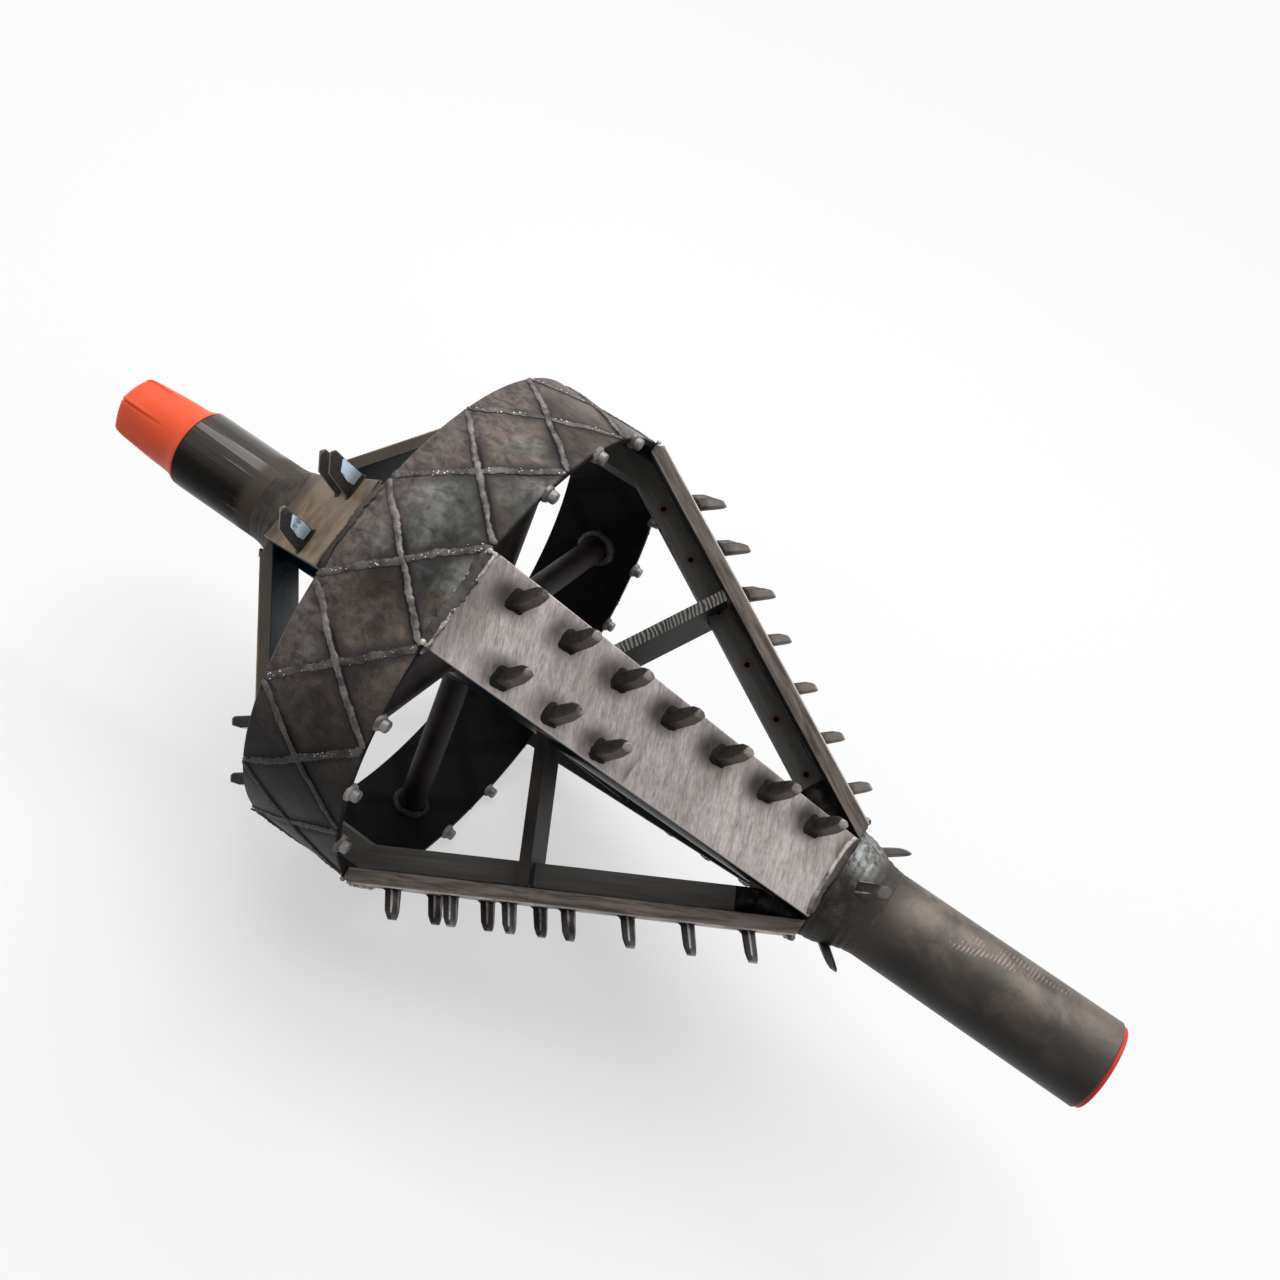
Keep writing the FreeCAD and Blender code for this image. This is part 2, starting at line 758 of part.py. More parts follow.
for number in range(1, WINGS + 1):
    group("wing_teeth_%d" % number, wing_tooth, wing_seats(),
          wing_turn(number).multiply(WING_FRAME))
for number in range(1, WINGS + 1):
    group("rear_teeth_%d" % number, rear_tooth, rear_seats(number),
          wing_turn(number).multiply(REAR_FRAME))


# Nose teeth: slabs that lean forward off the front collar, one in line
# with each wing

def make_nose_tooth():
    slab = tooth_form("nose_slab", "nose_tooth")
    slab.Placement = Placement(
        Vector(wing_nose + size("nose_tooth_start"), 0, size("shaft_radius")),
        Rotation(X_AXIS, 90))
    return cut("nose_tooth_form", slab, nose_collar)


nose_form = make_nose_tooth()


# Studs on the front edge of the band, three between each pair of wings,
# flush with the outside of the band

def make_stud():
    stud = doc.addObject("Part::Cylinder", "stud_shank")
    bind(stud, Radius="sizes.stud_radius", Height="sizes.stud_length")
    dome = doc.addObject("Part::Cone", "stud_dome")
    bind(dome, Radius1="sizes.stud_radius", Radius2="sizes.stud_radius / 2",
         Height="sizes.stud_dome")
    dome.Placement = Placement(Vector(0, 0, size("stud_length")), Rotation())
    form = doc.addObject("Part::MultiFuse", "stud_form")
    form.Shapes = [stud, dome]
    form.Placement = Placement(
        Vector(band_front, 0, size("band_radius") - size("stud_radius")),
        Rotation(Y_AXIS, 90))
    return form


stud_form = make_stud()
doc.recompute()
group("nose_teeth", nose_form, [wing_turn(number) for number in range(1, WINGS + 1)],
      Placement())
stud_places = []
for number in range(1, WINGS + 1):
    for step in (-1, 0, 1):
        offset = 180 / WINGS + step * size("stud_pitch")
        turn = Placement(Vector(0, 0, 0), Rotation(X_AXIS, offset))
        stud_places.append(wing_turn(number).multiply(turn))
group("ring_studs", stud_form, stud_places, Placement())


# Thread protectors: a fluted cap over the pin and a flanged plug in the box

def make_pin_protector():
    shoulder = PIN_SHOULDER
    end = "(%s - sizes.cap_length)" % shoulder
    wall_end = "(%s + sizes.cap_end_wall)" % end
    pin_end = "(%s - sizes.pin_length - sizes.cap_clearance)" % shoulder
    gap = "sizes.cap_clearance"
    reach = "(sizes.pin_length + sizes.cap_clearance)"
    body = turned("pin_protector", (
        (end, "0"),
        (end, "sizes.cap_tip_radius - sizes.cap_end_chamfer"),
        ("%s + sizes.cap_end_chamfer" % end, "sizes.cap_tip_radius"),
        ("%s - sizes.cap_waist_length" % shoulder, "sizes.cap_waist_radius"),
        ("%s - sizes.cap_rim_length" % shoulder, "sizes.cap_rim_radius"),
        (shoulder, "sizes.cap_rim_radius"),
        (shoulder, "sizes.pin_base_radius + " + gap),
        (pin_end, "sizes.pin_base_radius + %s - %s * %s" % (gap, TAPER, reach)),
        (wall_end, "sizes.cap_floor_radius"),
        (wall_end, "0")))
    sketch = new_sketch(body, "flute_section", "XZ_Plane")
    flute_end = "(%s + sizes.cap_flute_length)" % end
    outline(sketch, (
        (end + " - sizes.cut_margin", "sizes.cap_tip_radius - sizes.cap_flute_depth"),
        (end + " - sizes.cut_margin", "sizes.cap_rim_radius"),
        (flute_end, "sizes.cap_rim_radius"),
        (flute_end, "sizes.cap_waist_radius + sizes.cap_flute_fade")))
    flute = body.newObject("PartDesign::Pocket", "flute")
    flute.Profile = sketch
    flute.Midplane = True
    flute.setExpression("Length", "sizes.cap_flute_width")
    body.Tip = flute
    fan = body.newObject("PartDesign::PolarPattern", "flutes")
    fan.Originals = [flute]
    fan.Axis = (sketch, ["H_Axis"])
    fan.Angle = 360
    fan.setExpression("Occurrences", "sizes.cap_flute_count")
    body.Tip = fan
    return body


def make_box_protector():
    gap = "sizes.plug_clearance"
    mouth = "(sizes.box_mouth_radius - %s)" % gap
    inner_end = "(-sizes.plug_length)"
    collar_end = "(-sizes.box_mouth_length + sizes.plug_edge)"
    thread_mouth = "(sizes.pin_base_radius - %s * sizes.box_mouth_length - %s)" % (TAPER, gap)
    thread_end = "(sizes.pin_base_radius - %s * sizes.plug_length - %s)" % (TAPER, gap)
    body = turned("box_protector", (
        ("sizes.plug_flange - sizes.plug_dish_depth", "0"),
        ("sizes.plug_flange - sizes.plug_dish_depth", "sizes.plug_dish_radius"),
        ("sizes.plug_flange", "sizes.plug_dish_radius + sizes.plug_edge"),
        ("sizes.plug_flange", "sizes.plug_flange_radius - sizes.plug_edge"),
        ("sizes.plug_flange - sizes.plug_edge", "sizes.plug_flange_radius"),
        ("0", "sizes.plug_flange_radius"),
        ("0", mouth),
        (collar_end, mouth),
        (collar_end, thread_mouth),
        (inner_end, thread_end),
        (inner_end, thread_end + " - sizes.plug_wall"),
        ("-sizes.plug_wall", thread_mouth + " - sizes.plug_wall"),
        ("-sizes.plug_wall", "0")))
    grip = body.newObject("PartDesign::AdditiveBox", "grip")
    bind(grip, Length="sizes.plug_dish_depth", Width="sizes.plug_grip_width",
         Height="2 * sizes.plug_dish_radius")
    grip.Placement = Placement(
        Vector(size("plug_flange") - size("plug_dish_depth"),
               -size("plug_grip_width") / 2, -size("plug_dish_radius")), Rotation())
    body.Tip = grip
    return body


keep(make_pin_protector(), "pin_protector")
keep(make_box_protector(), "box_protector")


# Checks and export

doc.recompute()
for item in doc.Objects:
    for word in ("Invalid", "Error"):
        if word in item.State:
            raise RuntimeError("%s is %s" % (item.Label, word))
for piece in nodes:
    if piece.Shape.isNull() or not piece.Shape.isValid() or not piece.Shape.Solids:
        raise RuntimeError("bad shape in " + piece.Label)

os.makedirs("parts", exist_ok=True)
for piece in nodes:
    piece.Shape.exportStep("parts/%s.step" % piece.Label)
    print("%-18s solids %2d volume %12.1f" % (
        piece.Label, len(piece.Shape.Solids), piece.Shape.Volume))
print(len(nodes), "sub-parts")
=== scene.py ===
import math
import random

import bmesh
import bpy
from mathutils import Matrix, Vector, noise


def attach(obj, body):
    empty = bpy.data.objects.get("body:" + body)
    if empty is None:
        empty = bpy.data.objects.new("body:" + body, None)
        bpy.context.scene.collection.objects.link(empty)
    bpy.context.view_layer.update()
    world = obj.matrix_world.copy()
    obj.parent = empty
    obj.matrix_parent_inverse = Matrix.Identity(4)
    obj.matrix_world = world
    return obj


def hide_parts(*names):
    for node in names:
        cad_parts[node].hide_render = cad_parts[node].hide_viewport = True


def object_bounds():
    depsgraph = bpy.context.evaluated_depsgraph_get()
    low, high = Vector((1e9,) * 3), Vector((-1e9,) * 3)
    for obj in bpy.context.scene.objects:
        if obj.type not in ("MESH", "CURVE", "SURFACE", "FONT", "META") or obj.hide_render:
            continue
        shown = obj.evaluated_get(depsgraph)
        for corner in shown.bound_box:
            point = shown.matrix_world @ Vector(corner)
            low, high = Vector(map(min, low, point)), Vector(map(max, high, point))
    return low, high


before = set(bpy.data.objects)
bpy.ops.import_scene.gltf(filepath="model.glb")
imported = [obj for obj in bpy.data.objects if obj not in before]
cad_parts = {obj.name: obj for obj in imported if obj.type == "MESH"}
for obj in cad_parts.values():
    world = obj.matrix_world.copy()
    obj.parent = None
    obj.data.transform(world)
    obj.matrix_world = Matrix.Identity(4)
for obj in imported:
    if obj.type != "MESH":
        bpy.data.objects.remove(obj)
cad_low, cad_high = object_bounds()

# Main sizes of the reamer in metres. X runs along the axis and out of the
# box end, and angles go round the axis from +Y towards +Z.
BAND_MIDDLE = -1.020
BAND_WIDTH = 0.157
BAND_FRONT = -0.9415
BAND_REAR = -1.0985
BAND_RADIUS = 0.375
BAND_SKIN = BAND_RADIUS - 0.0029
BAND_WALL = 0.012
SHAFT_RADIUS = 0.0625
JOINT_RADIUS = 0.0635
SUB_BORE = 0.0285
PIN_SHOULDER = -1.532
PIN_TIP = -1.634
BOX_JOINT = -0.3341
PIN_JOINT = -1.3753
NEAR_ANGLE = 126.25
WINGS = 4
CROSSINGS = 16
CROSSING_TURN = 360 / CROSSINGS

# Sloping plates: radius of the outer face at the band, slope, length,
# thickness, and half widths at the band and at the body
WING_OUTER = 0.377
WING_SLOPE = math.radians(28.4)
WING_LENGTH = 0.6087
WING_THICK = 0.022
WING_HALVES = (0.069, 0.059)
WING_NOSE = -0.4061
REAR_SLOPE = math.radians(52.3)
REAR_LENGTH = 0.3741
REAR_THICK = 0.020
REAR_HALVES = (0.064, 0.055)
REAR_NECK = -1.3273
PLATE_BEVEL = 0.0013

# Rows of wing teeth: first tooth, pitch, offset, count, and reach of the dark halos
WING_ROWS = ((0.067, 0.080, 0.037, 7, -0.03, 0.60), (0.106, 0.075, -0.046, 3, 0.05, 0.30))
WING_SEATS = [(first + pitch * step, aside) for first, pitch, aside, count, *dark_spread in WING_ROWS
              for step in range(count)]
ODD_SEATS = [(0.130, 0.041), (0.092, -0.048), (0.150, -0.048)]
EVEN_SEATS = [(0.057, 0.0), (0.138, 0.0)]

# Mud pipe and strut under each wing, in the wing's own frame
PIPE_HALF = 0.0195
PIPE_END = 0.526
HOLE_FIRST, HOLE_PITCH, HOLE_DEPTH = 0.080, 0.086, 0.0395
STRUT_STATION = 0.245
STRUT_EDGE = 0.0585

# Threads of the pin and of the box
THREAD_PITCH = 0.00635
THREAD_DEPTH = 0.0028
THREAD_BASE = 0.051
THREAD_TAPER = (0.051 - 0.0425) / 0.102
THREAD_END = 0.1005
THREAD_FADE = 0.004
PIN_RELIEF = 0.013
BOX_RELIEF = 0.017
BOX_DEPTH = 0.1175
BOX_LINER = 0.0585

# Studs on the front edge of the band
STUD_CIRCLE = 0.3655
STUD_RADIUS = 0.0084
STUD_TIP = BAND_FRONT + 0.0146
STUD_STEP = 17.5

DIAGONAL = 0.7071


# Frames of the sloping plates: x runs from the band to the body along the
# outer face, z stands out of that face

def around(angle):
    return Matrix.Rotation(math.radians(angle - 90), 4, "X")


def wing_angle(number):
    return NEAR_ANGLE + 90 * number


def wing_frame(number):
    seat = Matrix.Translation((BAND_FRONT, 0, WING_OUTER))
    return around(wing_angle(number)) @ seat @ Matrix.Rotation(WING_SLOPE, 4, "Y")


def rear_frame(number):
    seat = Matrix.Translation((BAND_REAR, 0, BAND_RADIUS))
    turned = Matrix.Rotation(math.pi, 4, "Z") @ Matrix.Rotation(REAR_SLOPE, 4, "Y")
    return around(wing_angle(number)) @ seat @ turned


def nose_frame(number):
    seat = Matrix.Translation((WING_NOSE + 0.022, 0, SHAFT_RADIUS))
    return around(wing_angle(number)) @ seat


def on_axis(x, radius, angle):
    """Point at a station, a radius and an angle in degrees."""
    turn = math.radians(angle)
    return Vector((x, radius * math.cos(turn), radius * math.sin(turn)))


# Shader arithmetic

class Flow:
    """Output of a shader node that takes part in plain arithmetic."""

    def __init__(self, finish, node, output=0):
        self.finish = finish
        self.node = node
        self.socket = node.outputs[output]

    def output(self, key):
        return Flow(self.finish, self.node, key)

    def math(self, operation, *values):
        return self.finish.node("ShaderNodeMath", {"operation": operation},
                                dict(enumerate(values)))

    def of(self, operation):
        return self.math(operation, self)

    def __add__(self, other):
        return self.math("ADD", self, other)

    __radd__ = __add__

    def __sub__(self, other):
        return self.math("SUBTRACT", self, other)

    def __rsub__(self, other):
        return self.math("SUBTRACT", other, self)

    def __mul__(self, other):
        return self.math("MULTIPLY", self, other)

    __rmul__ = __mul__

    def __pow__(self, other):
        return self.math("POWER", self, other)

    def __mod__(self, other):
        return self.math("FLOORED_MODULO", self, other)

    def __neg__(self):
        return self * -1.0

    def __abs__(self):
        return self.of("ABSOLUTE")

    def __gt__(self, other):
        return self.math("GREATER_THAN", self, other)

    def __lt__(self, other):
        return self.math("LESS_THAN", self, other)

    def __or__(self, other):
        return self.math("MAXIMUM", self, other)

    def __and__(self, other):
        return self.math("MINIMUM", self, other)

    def rise(self, low, high):
        """Smooth step from 0 at low to 1 at high."""
        return self.finish.node("ShaderNodeMapRange", {"interpolation_type": "SMOOTHSTEP"},
                                {"Value": self, "From Min": low, "From Max": high})

    def between(self, first, second):
        """Mix of two colours by this value from 0 to 1."""
        first, second = [end if isinstance(end, Flow) else (*end, 1) for end in (first, second)]
        return self.finish.node("ShaderNodeMix", {"data_type": "RGBA"},
                                {0: self, 6: first, 7: second}, 2)

    def laid(self, mask, colour):
        """This colour with another one laid over it by a mask."""
        return mask.between(self, colour)

    def shade(self, factor):
        """This colour times a grey factor."""
        return self.finish.node("ShaderNodeVectorMath", {"operation": "MULTIPLY"},
                                {0: self, 1: self.finish.joined(factor, factor, factor)})

    def with_painted_shade(self, share):
        """Painted shade: this colour darkened towards the side that faces away from the light."""
        broad = self.finish.cloud(13.0, 5.0, 0.65, 6.0, 0.9)
        low = (self.finish.upper() + broad * 0.08).rise(-0.06, -0.20)
        return self.shade(1.0 - low * share)


class Finish:
    """Procedural material of one finish."""

    def __init__(self, name, slot=None):
        self.slot = slot
        self.material = bpy.data.materials.new(name)
        self.material.use_nodes = True
        self.tree = self.material.node_tree
        self.tree.nodes.clear()
        self.shader = self.node("ShaderNodeBsdfPrincipled").node
        self.surface = self.tree.nodes.new("ShaderNodeOutputMaterial")
        self.feed(self.surface, 0, self.shader.outputs[0])
        self.where = self.node("ShaderNodeTexCoord", output="Object")
        self.spot = self.axes(self.where)

    def node(self, kind, settings={}, inputs={}, output=0):
        """Any node: its settings first, then values or flows on its sockets."""
        made = self.tree.nodes.new(kind)
        for name, value in settings.items():
            setattr(made, name, value)
        for key, value in inputs.items():
            self.feed(made, key, value)
        return Flow(self, made, output)

    def feed(self, node, key, value):
        if isinstance(value, (Flow, bpy.types.NodeSocket)):
            self.tree.links.new(getattr(value, "socket", value), node.inputs[key])
        else:
            node.inputs[key].default_value = value

    def axes(self, where):
        split = self.node("ShaderNodeSeparateXYZ", {}, {0: where})
        return split, split.output(1), split.output(2)

    def joined(self, x, y, z):
        return self.node("ShaderNodeCombineXYZ", {}, {0: x, 1: y, 2: z})

    def angle(self):
        """Angle round the tool's axis, in radians."""
        x, y, z = self.spot
        return y.math("ARCTAN2", z, y)

    def upper(self):
        """Height towards the lit side."""
        x, y, z = self.spot
        return (y + z) * DIAGONAL

    def cloud(self, scale, detail, rough, shift=0.0, twist=0.0, where=None):
        """Noise from 0 to 1 around a half."""
        return self.node("ShaderNodeTexNoise", {"noise_dimensions": "4D"},
                         {"Vector": where or self.where, "W": shift, "Scale": scale,
                          "Detail": detail, "Roughness": rough, "Distortion": twist})

    def grain(self, x, y, z, detail, rough, shift=0.0, twist=0.0):
        """Noise drawn out by its own scale along each direction."""
        return self.cloud(1.0, detail, rough, shift, twist, self.joined(x, y, z))

    def cells(self, scale):
        return self.node("ShaderNodeTexVoronoi", {}, {"Vector": self.where, "Scale": scale})

    def set(self, colour, roughness, metallic, height=None, depth=0.001, strength=1.0,
            coat=0.0, **fixed):
        """Feed the shader: what varies as flows, what is even as numbers."""
        values = {"Base Color": colour, "Roughness": roughness, "Metallic": metallic,
                  "Coat Weight": coat}
        if height is not None:
            values["Normal"] = self.node("ShaderNodeBump", {}, {
                "Height": height, "Distance": depth, "Strength": strength})
        for name, value in fixed.items():
            values[name.replace("_", " ").title().replace("Ior", "IOR")] = value
        for name, value in values.items():
            self.feed(self.shader, name, value)
        return self


# Finishes

def wing_place(finish):
    """Along, across and depth at the nearest wing, and offset to its trailing side.

    Each wing keeps to its own quarter, so its height above the axis is the
    larger of two coordinates turned to the wings, and across is the other.
    """
    x, y, z = finish.spot
    turn = math.radians(NEAR_ANGLE - 90)
    upright = z * math.cos(turn) - y * math.sin(turn)
    sideways = y * math.cos(turn) + z * math.sin(turn)
    run = x - BAND_FRONT
    drop = WING_OUTER - (abs(upright) | abs(sideways))
    along = run * math.cos(WING_SLOPE) + drop * math.sin(WING_SLOPE)
    depth = run * math.sin(WING_SLOPE) - drop * math.cos(WING_SLOPE)
    first = abs(upright) > abs(sideways)
    offset = (first * sideways * upright.of("SIGN")
              + (1.0 - first) * -upright * sideways.of("SIGN"))
    return along, abs(upright) & abs(sideways), depth, offset


def tooth_halos(finish):
    """Dark halo round each wing tooth, centred a little towards the band."""
    x, y, z = finish.spot
    halos = []
    for first, pitch, offset, count, low, high in WING_ROWS:
        step = (x - first + pitch * 0.5 + 0.013) % pitch - pitch * 0.5
        gap = ((step * 0.85) ** 2.0 + (y - offset) ** 2.0) ** 0.5
        halos.append(gap.rise(0.034, 0.008) * ((x > low) * (x < high)))
    return halos[0] | halos[1]


def ground_plate():
    """Plate ground bright across its width, darkened round the teeth; painted light and shade."""
    finish = Finish("ground_plate", "wing_steel")
    x, y, z = finish.spot
    lean = math.radians(24)
    over = x * math.cos(lean) + y * math.sin(lean)
    along = y * math.cos(lean) - x * math.sin(lean)
    fine = finish.grain(over * 420, along * 85, z * 200, 4.0, 0.7, 0.0, 0.5)
    stroke = finish.grain(over * 120, along * 19, z * 100, 4.0, 0.65, 3.0, 0.9)
    scratch = finish.grain(over * 700, along * 30, z * 300, 2.0, 0.5, 9.0)
    rubbed = finish.grain(x * 14, y * 60, z * 130, 5.0, 0.65, 12.0, 0.5)
    patch = finish.cloud(11.0, 4.0, 0.6, 7.0)
    broad = finish.cloud(4.5, 3.0, 0.5, 17.0)
    halo = tooth_halos(finish)
    half = WING_HALVES[0] - x * (0.010 / 0.62)
    # worn edge with a painted highlight, along the y<0 side only
    worn_edge_highlight = (half - abs(y)).rise(0.0024, 0.0010) * (y < 0.0)
    side = z.rise(-0.0008, -0.003)
    edge = rubbed.rise(0.32, 0.66).between((0.062, 0.050, 0.042), (0.235, 0.196, 0.170))
    base = (patch.rise(0.35, 0.7).between((0.450, 0.404, 0.392), (0.300, 0.266, 0.250))
            .shade(0.90 + broad.rise(0.35, 0.65) * 0.24)
            .shade(fine.rise(0.2, 0.8) * 0.75 + stroke.rise(0.25, 0.75) * 0.5 + 0.38)
            .laid(scratch.rise(0.66, 0.74) * 0.45, (0.50, 0.46, 0.44))
            .laid(halo * (fine * 0.4 + patch).rise(0.3, 0.8), (0.060, 0.052, 0.048))
            .laid((x + stroke * 0.03).rise(0.090, 0.020) * 0.62, (0.125, 0.104, 0.098))
            .laid(worn_edge_highlight * 0.6, (0.46, 0.42, 0.39))
            .laid(side, edge)
            # painted shade: the underside near black
            .laid(z.rise(-0.0205, -0.0215), (0.016, 0.015, 0.014)))
    return finish.set(base, 0.34 + fine * 0.26 + halo * 0.2 + side * 0.1, 0.72 - side * 0.65,
                      fine * 0.5 + stroke * 0.5, 0.0009, 0.6, specular_ior_level=0.25)


def rolled_band():
    """Rolled plate, each diamond browned or blued, soot and a painted shadow beside the beads."""
    finish = Finish("rolled_band", "band_steel")
    x, y, z = finish.spot
    turns = finish.angle() * (180 / math.pi / CROSSING_TURN) - NEAR_ANGLE / CROSSING_TURN
    run = (x - BAND_MIDDLE) * (1 / BAND_WIDTH)
    gap_one = abs((turns + run + 0.5) % 1.0 - 0.5)
    gap_two = abs((turns - run + 0.5) % 1.0 - 0.5)
    cell = finish.joined((turns + run).of("FLOOR"), (turns - run).of("FLOOR"), 0.0)
    lot = finish.node("ShaderNodeTexWhiteNoise", {"noise_dimensions": "3D"}, {0: cell})
    dark_spread = finish.cloud(34.0, 5.0, 0.65, 2.0)
    stroke = finish.grain(x * 46, turns * 10, run * 5, 6.0, 0.68, 2.0, 1.0)
    broad = finish.cloud(13.0, 5.0, 0.65, 6.0, 0.9)
    light = finish.cloud(8.0, 4.0, 0.6, 16.0, 0.6).rise(0.35, 0.68)
    grit = finish.cloud(260.0, 4.0, 0.7, 4.0)
    heat = ((gap_one & gap_two) + (dark_spread - 0.5) * 0.09).rise(0.19, 0.045)
    green = light.between((0.042, 0.043, 0.038), (0.250, 0.248, 0.232))
    brown = light.between((0.052, 0.040, 0.034), (0.185, 0.148, 0.125))
    burnt = stroke.rise(0.3, 0.7).between((0.050, 0.040, 0.037), (0.200, 0.162, 0.150))
    spark = finish.cells(170.0).rise(0.13, 0.05) * heat.rise(0.3, 0.9) * dark_spread.rise(0.52, 0.6)
    inner = ((y * y + z * z) ** 0.5).rise(0.3700, 0.3690)
    base = (((lot - 0.5) * 0.35 + broad).rise(0.40, 0.52).between(green, brown)
            .shade(0.38 + stroke.rise(0.28, 0.72) * 0.9 + grit * 0.35)
            .laid(heat * (0.55 + dark_spread * 0.5), (0.040, 0.034, 0.036))
            .laid(stroke.rise(0.40, 0.30) * broad.rise(0.45, 0.6) * 0.75, (0.018, 0.015, 0.014))
            # painted shadow: a dark band along each heavy bead
            .laid((gap_two + (dark_spread - 0.5) * 0.06).rise(0.085, 0.045) * 0.8, (0.012, 0.010, 0.010))
            .laid((run + broad * 0.2).rise(0.0, -0.20) * 0.75, burnt)
            # painted shade towards the side away from the light
            .with_painted_shade(0.90)
            .laid(spark * 0.8, (0.50, 0.48, 0.46))
            # painted shade: the inside of the band near black
            .laid(inner, broad.between((0.003, 0.003, 0.003), (0.011, 0.010, 0.009))))
    return finish.set(base, 0.34 + stroke * 0.24 + heat * 0.15 + inner * 0.2,
                      0.16 - inner * 0.16, stroke * 0.6 + grit * 0.2 + spark * 0.6, 0.0016, 0.75,
                      specular_ior_level=0.1)


def rear_plate_steel():
    """Plate browned by heat, rubbed, speckled and dark on its edges; painted shade and sky below.
    """
    finish = Finish("browned_plate", "rear_steel")
    x, y, z = finish.spot
    mottle = finish.cloud(20.0, 5.0, 0.6)
    rub = finish.grain(x * 30, y * 260, z * 260, 3.0, 0.6, 2.0)
    speck = finish.cloud(330.0, 3.0, 0.6, 5.0)
    ends = x + mottle * 0.03
    under = z.rise(-0.0185, -0.0195)
    # painted reflection of the sky: blue streaks along the middle of the underside
    sky = speck.rise(0.60, 0.72) * abs(y + mottle * 0.02).rise(0.040, 0.010)
    base = (mottle.rise(0.35, 0.65).between((0.150, 0.105, 0.068), (0.300, 0.225, 0.150))
            .shade(0.62 + rub * 0.45 + speck * 0.3)
            .laid((ends.rise(0.050, 0.020) | ends.rise(0.30, 0.34)) * 0.7, (0.080, 0.060, 0.048))
            .laid(z.rise(-0.0012, -0.003),
                  mottle.between((0.030, 0.026, 0.022), (0.11, 0.09, 0.07)))
            # painted shade and sky reflection: the underside near black with blue streaks
            .laid(under, sky.between((0.006, 0.012, 0.022), (0.25, 0.34, 0.42))))
    return finish.set(base, 0.36 + mottle * 0.25 - under * 0.1, 0.25 - under * 0.25,
                      mottle + rub * 0.4 + speck * 0.3, 0.0008, 0.5, specular_ior_level=0.25)


def mill_scale(name, slot, dark, light, gloss=0.0):
    """Mill scale, nearly black, with rust in its pits."""
    finish = Finish(name, slot)
    mottle = finish.cloud(18.0, 5.0, 0.6)
    fine = finish.cloud(160.0, 3.0, 0.6, 2.0)
    base = (mottle.rise(0.35, 0.7).between(dark, light)
            .laid((fine * mottle).rise(0.34, 0.42) * 0.5, (0.07, 0.045, 0.03)))
    return finish.set(base, 0.42 + mottle * 0.25 - gloss * 0.25, 0.0, mottle + fine * 0.25,
                      0.0009, 0.4, mottle * gloss * 0.5, specular_ior_level=0.2)


def pipe_scale():
    """Mud pipe: blackened tube with rust rings round its holes."""
    finish = Finish("pipe_scale", "dark_steel")
    along, across, depth, offset = wing_place(finish)
    mottle = finish.cloud(22.0, 5.0, 0.6)
    rub = finish.grain(along * 12, across * 120, depth * 180, 4.0, 0.6)
    step = (along - HOLE_FIRST + HOLE_PITCH / 2) % HOLE_PITCH - HOLE_PITCH / 2
    low = depth + HOLE_DEPTH
    gap = (step * step + low * low) ** 0.5
    near = (gap + mottle * 0.006).rise(0.0170, 0.0085) * (offset < 0.0)
    near = near * ((along > 0.06) * (along < 0.53))
    base = (rub.between((0.034, 0.034, 0.031), (0.185, 0.175, 0.158))
            .laid(near * 0.85, (0.10, 0.052, 0.034)))
    return finish.set(base, 0.42 + mottle * 0.25, 0.0, mottle + rub * 0.3, 0.0008, 0.4,
                      specular_ior_level=0.2)


def flame_cut():
    """Flat bar: blackened faces, one flame-cut edge and one browned edge."""
    finish = Finish("flame_cut_bar", "cut_steel")
    along, across, depth, offset = wing_place(finish)
    mottle = finish.cloud(22.0, 4.0, 0.6)
    waver = finish.cloud(40.0, 2.0, 0.5, 3.0)
    lines = (depth * 1050 + along * 240 + waver * 15).of("SINE")
    groove = (lines + waver * 1.6 - 0.5).rise(-0.7, 1.0)
    edge = across.rise(STRUT_EDGE, STRUT_EDGE + 0.0007)
    drag = offset < 0.0
    cut = (groove.between((0.045, 0.045, 0.042), (0.235, 0.222, 0.200))
           .shade(0.6 + mottle * 0.8))
    rust = mottle.rise(0.3, 0.7).between((0.014, 0.012, 0.011), (0.052, 0.041, 0.035))
    base = (mottle.between((0.010, 0.011, 0.013), (0.032, 0.032, 0.036))
            .laid(edge, drag.between(rust, cut)))
    return finish.set(base, 0.48 + mottle * 0.2, 0.0, groove * drag * edge * 0.9 + mottle * 0.2,
                      0.0022, 0.7, specular_ior_level=0.12)


